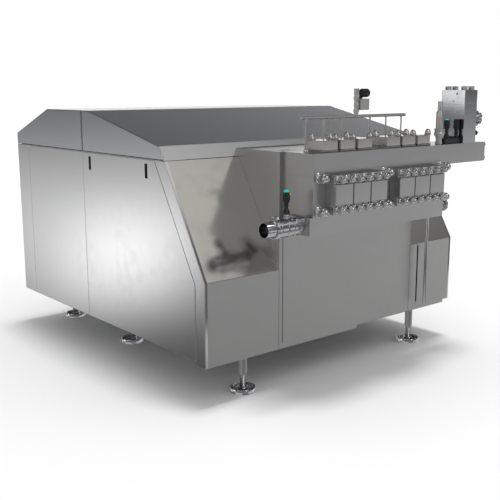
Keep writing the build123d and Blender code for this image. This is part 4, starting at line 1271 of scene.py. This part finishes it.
@dataclass
class PumpEnd:
    """Block, header, covers and their nuts, in millimetres."""

    shop: Workshop
    pitch: float = 186.0
    group_spacing: float = 694.0
    middle: float = 1476.0
    height: float = 1517.0
    front: float = -322.0
    cover_depth: float = 103.0
    ledge: float = 24.0
    nut_side: float = 46.5
    nut_rise: float = 108.0
    stud_rise: float = 122.0
    cover_top: float = 1896.0
    top_nut_places: tuple[tuple[float, float], ...] = ((61.0, -259.0), (-61.0, -137.0))
    front_nut: SeatedNut = SeatedNut(((0, 0), (29, 0), (31, 1.5), (31, 4), (29.5, 5.5), (0, 5.5)),
                                     5.0, 26.0, 74.0, 40)
    stud_nut: SeatedNut = SeatedNut(((0, 0), (40, 0), (42, 2), (42, 11), (39, 14), (0, 14)),
                                    13.5, 37.0, 86.0, 48)
    top_nut: SeatedNut = SeatedNut(((0, 0), (28, 0), (30, 1.5), (30, 4), (28, 5.5), (0, 5.5)),
                                   5.0, 26.5, 42.0, 36)

    def cylinders(self) -> list[float]:
        """Places of the six cylinders along X."""
        return [self.middle + group * self.group_spacing / 2 + index * self.pitch
                for group in (-1, 1) for index in (-1, 0, 1)]

    def build(self) -> None:
        """Builds the pump end."""
        shop = self.shop
        shop.softened("pump_block", Finish.FORGED, bevel=3.0)
        shop.softened("pressure_header", Finish.FORGED, bevel=3.5)
        shop.softened("front_covers", Finish.FORGED, bevel=3.5)
        shop.softened("top_covers", Finish.COVER, bevel=3.0)
        self._nuts()

    def _nuts(self) -> None:
        """Cap nuts on the front covers, on the block studs and on the top covers."""
        ledge = self.front - self.cover_depth + self.ledge
        front = [(x + side, ledge, self.height + rise) for x in self.cylinders()
                 for side in (-self.nut_side, self.nut_side)
                 for rise in (-self.nut_rise, self.nut_rise)]
        studs = [(self.middle + offset, self.front, self.height + rise)
                 for offset in (-self.group_spacing, 0.0, self.group_spacing)
                 for rise in (-self.stud_rise, self.stud_rise)]
        above = [(x + side, y, self.cover_top) for x in self.cylinders()
                 for side, y in self.top_nut_places]
        for name, node, places, nut, axis, finish in (
                ("front_cap_nuts", "front_cover_nuts", front, self.front_nut, -Y_AXIS, Finish.NUT),
                ("block_cap_nuts", "block_stud_nuts", studs, self.stud_nut, -Y_AXIS, Finish.NUT),
                ("top_cap_nuts", "top_cover_nuts", above, self.top_nut, Z_AXIS, Finish.COVER)):
            parts = [part for place in places for part in nut.surfaces(self.shop.at(*place), axis)]
            self.shop.piece(name, Surface.merged(parts), finish, node)


@dataclass
class TopLine:
    """Tap line over the covers, its valve and knob, and the pulsation damper, in millimetres."""

    shop: Workshop
    y: float = -98.0
    height: float = 2054.0
    header_top: float = 1811.0
    pitch: float = 186.0
    riser_shift: float = 8.0
    overhang: float = 45.0
    valve_x: float = 1392.0
    valve_seat: float = 2066.0
    positioner: Plate = Plate((47.0, 43.0), 60.0, 8.0)
    positioner_place: tuple[float, float] = (1459.5, 2143.0)
    plug: tuple[float, float] = (1438.0, 2185.0)
    knob: tuple[float, float] = (1411.3, 2229.0)
    damper: tuple[float, float] = (2213.0, -262.0)

    def build(self, cylinders: Sequence[float]) -> None:
        """Builds the line.

        Args:
            cylinders: places of the cylinders along X.
        """
        at = self.shop.at
        xs = [x - self.pitch / 2 + self.riser_shift for x in cylinders]
        length = xs[-1] - xs[0] + 2 * self.overhang
        pipe = [(0, 0), (10, 0), (12, 2), (12, length - 2), (10, length), (0, length)]
        riser = [(0, 0), (15, 0), (15, 12), (12, 14), (6, 15), (6, 226), (9, 230), (10, 236),
                 (10, 243), (0, 243)]
        parts = [lathe(pipe, at(xs[0] - self.overhang, self.y, self.height), X_AXIS, 28)]
        parts += [lathe(riser, at(x, self.y, self.header_top), Z_AXIS, 24, hexagon_after(13.0))
                  for x in xs]
        self.shop.piece("tap_line_tubes", Surface.merged(parts), Finish.SATIN, "tap_line")
        self._valve()
        self._knob()
        self._damper()

    def _valve(self) -> None:
        """Stacked valve body with union nuts, its positioner block and cable plug."""
        at = self.shop.at
        body = [(0, -4), (15, -4), (16, 0), (16, 14), (22, 16), (22, 40), (16, 42), (16, 56),
                (20, 58), (20, 84), (17, 86), (17, 108), (22, 110), (22, 136), (17, 138),
                (17, 150), (20, 152), (20, 192), (17, 197), (0, 197)]
        block_x, block_z = self.positioner_place
        parts = [lathe(body, at(self.valve_x, self.y, self.valve_seat), Z_AXIS, 40),
                 rounded_plate(at(block_x, self.y, block_z), X_AXIS, Z_AXIS, self.positioner)]
        self.shop.piece("tap_valve_body", Surface.merged(parts), Finish.SATIN, "tap_valve",
                        bevel=1.5)
        plug = [(0, 0), (13, 0), (15, 2), (15, 12), (12, 15), (12, 26), (9, 30), (0, 30)]
        plug_x, plug_z = self.plug
        turned = lathe(plug, at(plug_x, self.y, plug_z), Z_AXIS, 28, lobes(10, 0.06, 14.0))
        self.shop.piece("positioner_plug", turned, Finish.BLACK, "tap_valve", extra=True)

    def _knob(self) -> None:
        """Black hand knob with finger grips, on its neck."""
        grip = [(0, 0), (9, 0), (9, 24), (16, 28), (26, 31), (33, 38), (33, 92), (31, 100),
                (25, 107), (9, 109), (9, 122), (7, 126), (0, 126)]
        x, z = self.knob
        turned = lathe(grip, self.shop.at(x, self.y, z), X_AXIS, 96, lobes(12, 0.09, 30.0))
        self.shop.piece("tap_knob_grip", turned, Finish.BLACK, "tap_valve_knob")

    def _damper(self) -> None:
        """Stepped pulsation damper with a stack of collars and rounded shoulders."""
        body = [(0, 0), (28, 0), (30, 2), (30, 18), (26, 22), (26, 50), (30, 54), (30, 69), (40, 70),
                (42, 73), (42, 92), (37, 98), (37, 112), (40, 116), (40, 126), (33, 129), (29, 132),
                (29, 262), (27, 268), (19, 270), (19, 342), (17, 347), (10, 349), (0, 349)]
        turned = lathe(body, self.shop.at(*self.damper, self.header_top), Z_AXIS, 48)
        self.shop.piece("damper_body", turned, Finish.SATIN, "pulsation_damper")


# Valve tower


@dataclass
class Tower:
    """Homogenizing valve tower with its outlet, side knob and sensor console, in millimetres."""

    shop: Workshop
    left: float = 2461.0
    right: float = 2633.0
    front: float = -322.0
    back: float = -85.0
    top: float = 2249.0
    holes: tuple[tuple[float, float, float], ...] = ((-240.0, 2218.0, 7.5), (-205.0, 2156.0, 3.5))
    hole_depth: float = 30.0
    screw_inset: float = 38.0
    screw_radius: float = 26.0
    screw_height: float = 31.0
    header_end: float = 2780.0
    bolt_y: float = -297.0
    bolt_heights: tuple[float, float] = (1675.0, 1786.0)
    outlet: tuple[float, float] = (-200.0, 2008.0)
    side_knob: tuple[float, float] = (-292.0, 1890.0)
    knob_gap: float = 0.3
    console: Plate = Plate((106.0, 45.0), 46.0, 6.0)
    console_place: tuple[float, float, float] = (2352.0, -255.0, 1834.0)
    console_top: float = 1857.0
    socket: Plate = Plate((17.5, 12.0), 16.0, 4.0)
    socket_x: float = 2368.5
    sensor_x: float = 2430.0
    sensor_y: float = -272.0
    head_x: float = 2301.0
    head_radius: float = 26.0
    head_height: float = 150.0
    lens_rise: float = 145.0
    band_rise: float = 127.0

    def build(self) -> None:
        """Builds the tower and what stands beside it."""
        shop, at = self.shop, self.shop.at
        holes = [
            lathe([(0, -self.hole_depth), (radius, -self.hole_depth), (radius, 6), (0, 6)],
                  at(self.left, y, z), -X_AXIS, 24)
            for y, z, radius in self.holes
        ]
        shop.softened("valve_tower", Finish.TOWER, bevel=2.5)
        shop.softened("valve_tower_head", Finish.TOWER, bevel=2.5, cutters=holes)
        inset = self.screw_inset
        screws = [socket_screw(at(x, y, self.top), Z_AXIS, self.screw_radius, self.screw_height)
                  for x in (self.left + inset, self.right - inset)
                  for y in (self.front + inset, self.back - inset)]
        bolt = [(0, 0), (20, 0), (21, 1.5), (21, 3), (18, 4), (19, 5), (19, 20), (16, 24), (0, 25)]
        screws += [lathe(bolt, at(self.header_end, self.bolt_y, z), X_AXIS, 36, hexagon_after(17.0))
                   for z in self.bolt_heights]
        shop.piece("tower_screws", Surface.merged(screws), Finish.NUT, "tower_and_header_bolts")
        self._outlet()
        self._console()

    def _outlet(self) -> None:
        """Outlet pipe with a slotted union nut, and the black knob beside it."""
        at = self.shop.at
        pipe = [(29, -4), (34, -4), (34, 8), (32, 10), (32, 112), (36, 118), (46, 124), (52, 132),
                (66, 140), (67, 144), (67, 170), (64, 175), (46, 176), (34, 176), (30, 174),
                (29, 170)]
        union = lathe(pipe, at(self.right, *self.outlet), X_AXIS, 72, lobes(6, 0.12, 60.0), True)
        self.shop.piece("outlet_union", union, Finish.PIPE, "outlet_pipe")
        knob = [(0, 0), (8, 0), (8, 18), (15, 21), (20, 25), (21, 30), (21, 46), (18, 52), (10, 54),
                (0, 54)]
        turned = lathe(knob, at(self.right + self.knob_gap, *self.side_knob), X_AXIS, 60,
                       lobes(8, 0.1, 19.0))
        self.shop.piece("side_knob_grip", turned, Finish.BLACK, "tower_side_knob")

    def _console(self) -> None:
        """Console with its socket, position sensor and control head."""
        shop, at = self.shop, self.shop.at
        socket = at(self.socket_x, self.sensor_y, self.console_top + self.socket.depth / 2)
        sensor = [(0, 0), (19, 0), (19, 14), (15, 20), (15, 62), (18, 72), (25, 80), (25, 148),
                  (22, 154), (0, 156)]
        parts = [rounded_plate(at(*self.console_place), X_AXIS, Y_AXIS, self.console),
                 rounded_plate(socket, X_AXIS, Y_AXIS, self.socket),
                 lathe(sensor, at(self.sensor_x, self.sensor_y, self.console_top), Z_AXIS, 40)]
        shop.piece("console_body", Surface.merged(parts), Finish.BLACK, "sensor_console", bevel=2.0)
        foot = at(self.head_x, self.sensor_y, self.console_top)
        lens_seat = foot + Z_AXIS * self.lens_rise * MM
        band_seat = foot + Z_AXIS * self.band_rise * MM
        node = "tower_control_head"
        shop.piece("tower_head_body", control_head(foot, self.head_radius, self.head_height),
                   Finish.BLACK, node)
        shop.piece("tower_head_lens", lens(lens_seat, 19.5, 12.0), Finish.TEAL, node, extra=True)
        shop.piece("tower_head_band", half_band(band_seat, 26.8, 16.0), Finish.YELLOW, node,
                   extra=True)


def control_head(origin: Array, radius: float, height: float, bore: float = 0.0) -> Surface:
    """Waisted control head: a foot cone, a narrow neck with a clamp ring and a flared body.

    Args:
        origin: middle of its foot, in metres.
        radius: widest radius, in millimetres.
        height: whole height, in millimetres.
        bore: radius of a hole through it, in millimetres.

    Returns:
        The turned head.
    """
    shares = [(0.95, 0.0), (0.97, 0.03), (0.9, 0.1), (0.72, 0.19), (0.5, 0.25), (0.46, 0.3),
              (0.46, 0.36), (0.6, 0.37), (0.62, 0.4), (0.5, 0.43), (0.52, 0.46), (0.72, 0.53),
              (0.88, 0.6), (0.95, 0.66), (1.0, 0.8), (1.0, 0.96), (0.96, 1.0)]
    outer = [(radius * across, height * up) for across, up in shares]
    return lathe([(bore, 0), *outer, (bore, height)], origin, Z_AXIS, 48, closed=bore > 0)


def lens(origin: Array, radius: float, height: float) -> Surface:
    """Low dome: its radius falls as the cosine of the height's share of a quarter turn.

    Args:
        origin: middle of its seat, in metres.
        radius: its radius, in millimetres.
        height: whole height, in millimetres.

    Returns:
        The dome on its short rim.
    """
    rim, quarter = 3, 1.57
    dome = [(radius * math.cos(a), rim + (height - rim) * math.sin(a))
            for a in np.linspace(0, quarter, 8)]
    return lathe([(0, 0), (radius, 0), *dome, (0, height)], origin, Z_AXIS, 40)


def half_band(origin: Array, radius: float, height: float) -> Surface:
    """Band round the right-hand half of a head: a small rectangle carried along an arc.

    Args:
        origin: middle of its lower edge, in metres.
        radius: its outer radius, in millimetres.
        height: its height, in millimetres.

    Returns:
        The band, closed at both ends.
    """
    wall, first, last = 2, -75, 60
    angle = np.radians(np.linspace(first, last, 18))
    inner = radius - wall
    ring = [np.column_stack([r * np.cos(angle), r * np.sin(angle), np.full(len(angle), z)])
            for r, z in ((radius, 0), (radius, height), (inner, height), (inner, 0))]
    points = origin + np.stack(ring, 1).reshape(-1, 3) * MM
    count = len(points)
    caps = [np.arange(4), np.arange(count - 4, count)[::-1]]
    return Surface(points, grid_quads(len(angle), 4, False, True), caps)


# Suction line


@dataclass
class SuctionLine:
    """Inlet pipe, clamp, butterfly valve, strainer and flange, and the blind end on the right.

    All sizes are in millimetres, and each start is the left end of a piece along X.
    """

    shop: Workshop
    y: float = -200.0
    z: float = 1290.0
    bore: float = 52.5
    pipe_start: float = 369.0
    clamp_start: float = 455.0
    wing: Plate = Plate((9.0, 22.0), 24.0, 5.0)
    wing_rise: float = 80.0
    screw_offset: tuple[float, float] = (33.0, 81.0)
    valve_start: float = 468.0
    flange_bolts: float = 609.0
    strainer_start: float = 612.0
    bypass_start: float = 609.0
    bypass_offset: tuple[float, float] = (-62.0, 50.0)
    blind_start: float = 2225.0
    blind_bolts: float = 2391.0
    head_x: float = 583.0
    stem_bore: float = 8.06
    head_seat: float = 1386.0
    lens_seat: float = 1544.3
    band_seat: float = 1524.0

    def build(self) -> None:
        """Builds the line from its open end to the pump block."""
        self._inlet()
        self._valve_body()
        bore = self.bore
        strainer = [(bore, 0), (60, 0), (69, 2), (69, 16), (60, 19), (60, 30), (62, 32), (62, 42),
                    (59, 44), (59, 62), (68, 66), (68, 80), (60, 85), (bore, 85)]
        self._turned("strainer_tube", strainer, self.strainer_start, "strainer_housing")
        self.shop.softened("inlet_flange", Finish.FORGED, bevel=3.0)
        bypass = [(0, 0), (19, 0), (20, 2), (20, 14), (16, 16), (16, 70), (21, 72), (21, 84),
                  (19, 86), (0, 88)]
        self._turned("bypass_tube", bypass, self.bypass_start, "bypass_pipe", self.bypass_offset,
                     False)
        self._valve_head()
        self._blind_end()

    def _turned(self, name: str, profile: Profile, start: float, node: str,
                offset: tuple[float, float] = (0.0, 0.0), closed: bool = True) -> None:
        """Makes a piece that is turned about the line, or beside it.

        Args:
            name: the piece's name.
            profile: radius and height pairs.
            start: its left end along X.
            node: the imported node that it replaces.
            offset: how far its middle lies from the line along Y and Z.
            closed: the profile is a loop, as for a tube.
        """
        origin = self.shop.at(start, self.y + offset[0], self.z + offset[1])
        self.shop.piece(name, lathe(profile, origin, X_AXIS, 64, closed=closed), Finish.PIPE, node)

    def _bolts(self, x: float, radius: float, count: int, corner: float,
               height: float) -> list[Surface]:
        """Small nuts on a circle about the line.

        Args:
            x: their seat along X.
            radius: the circle's radius.
            count: how many there are.
            corner: radius across a nut's corners.
            height: a nut's height.

        Returns:
            One surface for each nut.
        """
        turns = (np.arange(count) + 0.5) * 2 * math.pi / count
        places = [(self.y + radius * math.cos(a), self.z + radius * math.sin(a)) for a in turns]
        return [cap_nut(self.shop.at(x, y, z), X_AXIS, corner, height) for y, z in places]

    def _inlet(self) -> None:
        """Open pipe and the clamp that holds it, with its wing and screw."""
        shop, bore = self.shop, self.bore
        pipe = [(bore, 1), (bore + 1, 0), (bore + 2.4, 0), (bore + 3, 1), (bore + 3, 82),
                (bore + 5, 88), (63, 91), (64, 93), (64, 99), (bore, 99)]
        self._turned("inlet_pipe_tube", pipe, self.pipe_start, "inlet_pipe")
        clamp = [(64.1, -3), (72, -3), (78, 4), (78, 22), (72, 29), (64.1, 29)]
        ring = lathe(clamp, shop.at(self.clamp_start, self.y, self.z), X_AXIS, 72, closed=True)
        joint, (ahead, rise) = self.valve_start, self.screw_offset
        wing = rounded_plate(shop.at(joint, self.y, self.z + self.wing_rise), X_AXIS, Y_AXIS,
                             self.wing)
        screw = [(0, 0), (6, 0), (6, 46), (13, 48), (15, 52), (15, 66), (12, 72), (0, 72)]
        turned = lathe(screw, shop.at(joint, self.y + ahead, self.z + rise), -Y_AXIS, 36,
                       lobes(6, 0.25, 12.5))
        shop.piece("inlet_clamp_ring", Surface.merged([ring, wing, turned]), Finish.PIPE,
                   "inlet_clamp", bevel=1.0)

    def _valve_body(self) -> None:
        """Butterfly valve body with its neck and the bolts of its flange."""
        shop, bore, stem = self.shop, self.bore, self.stem_bore
        body = [(bore, 0), (64, 0), (64, 7), (60, 10), (60, 16), (66, 20), (70, 26), (70, 78),
                (66, 82), (60, 86), (60, 90), (72, 93), (74, 96), (74, 108), (70, 111), (64, 113),
                (64, 139), (62, 142), (60, 144), (bore, 144)]
        neck = [(stem, 55), (18, 55), (18, 70), (20, 72), (20, 80), (18, 82), (18, 96), (stem, 96)]
        parts = [lathe(body, shop.at(self.valve_start, self.y, self.z), X_AXIS, 72, closed=True),
                 lathe(neck, shop.at(self.head_x, self.y, self.z), Z_AXIS, 40, closed=True),
                 *self._bolts(self.flange_bolts, 62.0, 8, 8.0, 12.0)]
        shop.piece("butterfly_body", Surface.merged(parts), Finish.PIPE, "butterfly_valve_body")

    def _valve_head(self) -> None:
        """Control head of the butterfly valve, its disc and the lens that turns with it."""
        shop, at, x = self.shop, self.shop.at, self.head_x
        shop.dress("butterfly_disc", Finish.MACHINED)
        head = control_head(at(x, self.y, self.head_seat), 27.0, 158.0, self.stem_bore)
        shop.piece("inlet_head_body", head, Finish.BLACK, "inlet_control_head")
        shop.piece("inlet_head_lens", lens(at(x, self.y, self.lens_seat), 20.5, 17.5), Finish.TEAL,
                   "position_indicator")
        shop.piece("inlet_head_band", half_band(at(x, self.y, self.band_seat), 27.8, 18.0),
                   Finish.YELLOW, "inlet_control_head", extra=True)

    def _blind_end(self) -> None:
        """Blind stub with a bolted round flange at the right end of the gallery."""
        profile = [(0, 0), (60, 0), (62.5, 2.5), (62.5, 10), (60, 12), (38, 13), (38, 139),
                   (56, 141), (58, 144), (58, 163), (55, 167), (40, 167), (36, 163), (0, 163)]
        parts = [lathe(profile, self.shop.at(self.blind_start, self.y, self.z), X_AXIS, 64),
                 *self._bolts(self.blind_bolts, 47.0, 6, 7.0, 8.0)]
        self.shop.piece("gallery_blind_flange", Surface.merged(parts), Finish.PIPE,
                        "gallery_end_cap")


# Base and drive


@dataclass
class Base:
    """Frame, levelling feet, drain pipe and the drive inside the cabinet, in millimetres."""

    shop: Workshop
    feet_x: tuple[float, float] = (427.0, 2373.0)
    feet_y: tuple[float, float, float] = (108.0, 1710.0, 2806.0)
    thread_pitch: float = 8.0
    thread_start: float = 46.0
    thread_end: float = 270.0
    crest: float = 24.9
    root: float = 23.4
    drain: tuple[float, float, float] = (2332.0, -90.0, 400.0)

    def build(self) -> None:
        """Builds the base and dresses the drive."""
        shop = self.shop
        shop.softened("base_frame", Finish.FRAME, bevel=3.0)
        places = [(x, y) for x in self.feet_x for y in self.feet_y]
        for number, (x, y) in enumerate(places, 1):
            shop.piece(f"foot_{number}", self._foot(x, y), Finish.FOOT, f"levelling_foot_{number}")
        drain = [(11, 0), (12, -1), (13, 1), (13, 1236), (17, 1238), (17, 1250), (11, 1250)]
        shop.piece("drain_tube", lathe(drain, shop.at(*self.drain), Z_AXIS, 32, closed=True),
                   Finish.PIPE, "drain_pipe")
        dressed = {
            Finish.MACHINED: ["crankshaft", "pinion_shaft", "motor_rotor", "plungers_first_pair",
                              "plungers_second_pair", "plungers_third_pair",
                              "inlet_valve_poppets", "outlet_valve_poppets",
                              "homogenizing_seat_rings", "homogenizing_forcer"],
            Finish.CASTING: ["crankcase", "oil_unit"],
            Finish.MOTOR: ["motor_housing"],
            Finish.RUBBER: ["drive_belts"],
        }
        for finish, nodes in dressed.items():
            for node in nodes:
                shop.dress(node, finish)

    def _foot(self, x: float, y: float) -> Surface:
        """Foot with a rolled dish rim, a ball socket and a threaded stem.

        The thread is a row of rings, each a small step out and back in the profile.

        Args:
            x: middle of the foot across the machine.
            y: its middle in depth.

        Returns:
            The turned foot.
        """
        dish = [(0, 0), (94, 0), (98, 4), (98, 34), (96, 38), (91, 38), (88, 34), (88, 12),
                (84, 9), (44, 10), (38, 16), (36, 34), (30, 40), (25, 42)]
        pitch, top = self.thread_pitch, self.thread_end + 4
        thread = [point for z in np.arange(self.thread_start, self.thread_end, pitch)
                  for point in ((self.crest, z), (self.crest, z + pitch * 0.4),
                                (self.root, z + pitch * 0.6))]
        return lathe([*dish, *thread, (24.5, top), (0, top)], self.shop.at(x, y, 0), Z_AXIS, 64)


# Studio


@dataclass(frozen=True)
class Softbox:
    """A soft window of light in the surroundings that metal reflects, in degrees."""

    azimuth: float
    elevation: float
    half_width: float
    half_height: float
    softness: float
    strength: float
    tint: tuple[float, float, float] = (1.0, 1.0, 1.0)

    def glow(self, n: Nodes, azimuth: bpy.types.NodeSocket,
             elevation: bpy.types.NodeSocket) -> bpy.types.NodeSocket:
        """Works out the window's light in a direction.

        It is the strength times one mask for the width and one for the height. Each is 1 well
        inside the window and falls smoothly to 0 past its edge.

        Args:
            n: the surroundings' node tree.
            azimuth: the direction's angle round the machine.
            elevation: its angle above the floor.

        Returns:
            The colour.
        """
        soft, width = math.radians(self.softness), math.radians(self.half_width)
        height, inner_share = math.radians(self.half_height), 0.5
        turned = n.math("SUBTRACT", azimuth, math.radians(self.azimuth))
        wrapped = n.math("ABSOLUTE", n.math("WRAP", turned, math.pi, -math.pi))
        lifted = n.math("ABSOLUTE", n.math("SUBTRACT", elevation, math.radians(self.elevation)))
        wide = n.remap(wrapped, width + soft, width - soft * inner_share, 0.0, 1.0, True)
        high = n.remap(lifted, height + soft, max(0.0, height - soft * inner_share), 0.0, 1.0, True)
        light = n.math("MULTIPLY", n.math("MULTIPLY", wide, high), self.strength)
        return n.add("ShaderNodeVectorMath", {0: self.tint, "Scale": light},
                     operation="SCALE").outputs[0]


@dataclass(frozen=True)
class AreaLamp:
    """A square lamp that matt surfaces see and metal doesn't, in metres and watts."""

    name: str
    place: tuple[float, float, float]
    aim: tuple[float, float, float]
    size: float
    power: float

    def build(self) -> None:
        """Hangs the lamp and turns it towards its aim."""
        data = bpy.data.lights.new(self.name, "AREA")
        data.energy, data.size = self.power, self.size
        lamp = bpy.data.objects.new(self.name, data)
        back = np.array(self.place) - np.array(self.aim)
        back /= np.linalg.norm(back)
        side, over = cross_axes(back)
        turn = Matrix((side.tolist(), over.tolist(), back.tolist())).transposed().to_4x4()
        lamp.matrix_world = Matrix.Translation(self.place) @ turn
        lamp.visible_glossy = False
        bpy.context.scene.collection.objects.link(lamp)


@dataclass
class Studio:
    """Camera, pale floor, lamps and the surroundings, in metres."""

    lens_mm: float = 57.32
    sensor_mm: float = 36.0
    camera_place: tuple[float, float, float] = (-4.5972, -5.6106, 2.2611)
    camera_right: tuple[float, float, float] = (0.77014, -0.63788, -0.00175)
    camera_up: tuple[float, float, float] = (0.12787, 0.15169, 0.98012)
    camera_back: tuple[float, float, float] = (-0.62493, -0.75505, 0.19839)
    view_reach: float = 200.0
    floor_reach: float = 400.0
    floor_near: float = 2.5
    floor_far: float = 9.0
    # floor colour near the machine, darker than the white far away: painted shade round the machine
    floor_painted_shade: float = 0.87
    sky_power: float = 1.5
    sky_angle: float = math.radians(14)
    sky_tilt: tuple[float, float] = (math.radians(-1), math.radians(6))
    fill: float = 0.62
    blueness: float = 1.03
    lamps: tuple[AreaLamp, ...] = (
        AreaLamp("key_lamp", (5.5, -4.5, 7.5), (0.0, 0.0, 0.6), 5.0, 70.0),
        AreaLamp("top_lamp", (0.3, 0.6, 8.0), (0.3, 0.0, 0.0), 3.0, 60.0),
    )
    tones: tuple[tuple[float, float], ...] = (
        (0.0, 0.5), (0.27, 0.45), (0.33, 0.12), (0.38, 0.06), (0.40, 0.10), (0.42, 0.22),
        (0.455, 0.27), (0.48, 0.22), (0.497, 0.12), (0.62, 0.11), (1.0, 0.12))
    boxes: tuple[Softbox, ...] = (
        Softbox(120.5, -12.0, 2.6, 1.4, 4.8, 1.38),
        Softbox(118, -8.3, 13, 1.8, 6.6, 0.42),
        Softbox(152, 4, 10, 7, 5, 1.3),
        Softbox(-46, 42, 10, 10, 9, 0.6, (1.0, 0.98, 0.94)),
        Softbox(-38, -14, 40, 10.5, 4, 0.28),
        Softbox(-20, -11, 9, 5, 10, 0.30),
        Softbox(-92, 36, 14, 14, 14, 0.4),
        Softbox(-26, 29, 5, 4, 8, 0.16),
        Softbox(45, 9, 22, 4, 5, 1.6),
        Softbox(45, 21, 30, 5, 6, 0.03),
        Softbox(-143, 33, 22, 13, 8, 0.42),
        Softbox(-172, 20, 5, 10, 5, 1.0),
        Softbox(-75, 62, 30, 4, 4, 3.0),
        Softbox(-96, 22, 5, 12, 5, 2.0),
        Softbox(-165, -18, 30, 6, 8, 0.4),
        Softbox(45, -16, 28, 8, 10, 0.5),
    )

    def build(self) -> None:
        """Sets up everything that isn't the machine."""
        self._camera()
        self._floor()
        for lamp in self.lamps:
            lamp.build()
        self._sky()
        self._surroundings()
        bpy.context.scene.view_settings.view_transform = "Standard"

    def _camera(self) -> None:
        """Places the camera where the photograph was taken from."""
        data = bpy.data.cameras.new("photograph_camera")
        data.lens, data.sensor_width, data.sensor_fit = self.lens_mm, self.sensor_mm, "HORIZONTAL"
        data.clip_end = self.view_reach
        camera = bpy.data.objects.new("photograph_camera", data)
        axes = (self.camera_right, self.camera_up, self.camera_back)
        turn = Matrix(axes).transposed().to_4x4()
        camera.matrix_world = Matrix.Translation(self.camera_place) @ turn
        bpy.context.scene.collection.objects.link(camera)
        bpy.context.scene.camera = camera

    def _floor(self) -> None:
        """Pale matt floor that metal doesn't mirror, because the surroundings hold its light; its
        colour is darker near the machine, painted shade that deepens the machine's shadow, and white
        far away.
        """
        reach = self.floor_reach
        mesh = bpy.data.meshes.new("studio_floor")
        mesh.from_pydata([(-reach, -reach, 0), (reach, -reach, 0), (reach, reach, 0),
                          (-reach, reach, 0)], [], [(0, 1, 2, 3)])
        floor = bpy.data.objects.new("studio_floor", mesh)
        material, n, shader = new_material("pale_floor")
        place = n.add("ShaderNodeTexCoord").outputs["Object"]
        away = n.add("ShaderNodeVectorMath", {0: place}, operation="LENGTH").outputs["Value"]
        # colour rises with distance from the darker near tone to white: the darker ring round the
        # machine is painted shade
        tone = n.remap(away, self.floor_near, self.floor_far, self.floor_painted_shade, 1.0, True)
        n.feed(shader, {"Base Color": tone, "Roughness": 0.9, "Specular IOR Level": 0.1})
        mesh.materials.append(material)
        bpy.context.scene.collection.objects.link(floor)
        floor.visible_glossy = False

    def _sky(self) -> None:
        """Soft light from straight above, a little tilted, that gives the shadow its shape."""
        data = bpy.data.lights.new("sky_lamp", "SUN")
        data.energy, data.angle = self.sky_power, self.sky_angle
        lamp = bpy.data.objects.new("sky_lamp", data)
        lamp.rotation_euler = (*self.sky_tilt, 0)
        lamp.visible_glossy = False
        bpy.context.scene.collection.objects.link(lamp)

    def _surroundings(self) -> None:
        """White behind the object, an even fill for matt surfaces and soft windows for metal."""
        world = bpy.data.worlds.new("studio")
        world.use_nodes = True
        world.cycles.sampling_method = "NONE"
        bpy.context.scene.world = world
        n = Nodes(world.node_tree)
        place = n.add("ShaderNodeTexCoord").outputs["Generated"]
        split = n.add("ShaderNodeSeparateXYZ", {0: place})
        azimuth = n.math("ARCTAN2", split.outputs[1], split.outputs[0])
        elevation = n.math("ARCSINE", split.outputs[2])
        share = n.remap(elevation, -math.pi / 2, math.pi / 2, 0.0, 1.0)
        ramp = n.add("ShaderNodeValToRGB", {0: share})
        elements = ramp.color_ramp.elements
        while len(elements) < len(self.tones):
            elements.new(0.5)
        for element, (position, value) in zip(elements, self.tones):
            element.position = position
            element.color = (value, value, value * self.blueness, 1.0)
        total = ramp.outputs[0]
        for box in self.boxes:
            total = n.add("ShaderNodeVectorMath", {0: total, 1: box.glow(n, azimuth, elevation)},
                          operation="ADD").outputs[0]
        path = n.add("ShaderNodeLightPath")
        fill, white = (self.fill, self.fill, self.fill, 1.0), (1.0, 1.0, 1.0, 1.0)
        lit = n.add("ShaderNodeMix", {0: path.outputs["Is Glossy Ray"], 6: fill, 7: total},
                    data_type="RGBA")
        shown = n.add("ShaderNodeMix", {0: path.outputs["Is Camera Ray"], 6: lit.outputs[2],
                                        7: white}, data_type="RGBA")
        n.feed(n.tree.nodes["Background"], {"Color": shown.outputs[2]})


def main() -> None:
    """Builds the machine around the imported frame, then the studio."""
    logging.basicConfig(level=logging.INFO, format="%(message)s")
    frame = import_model()
    shop = Workshop(frame)
    Cabinet(shop).build()
    pump = PumpEnd(shop)
    pump.build()
    TopLine(shop).build(pump.cylinders())
    Tower(shop).build()
    SuctionLine(shop).build()
    Base(shop).build()
    Studio().build()


if __name__ == "__main__":
    main()
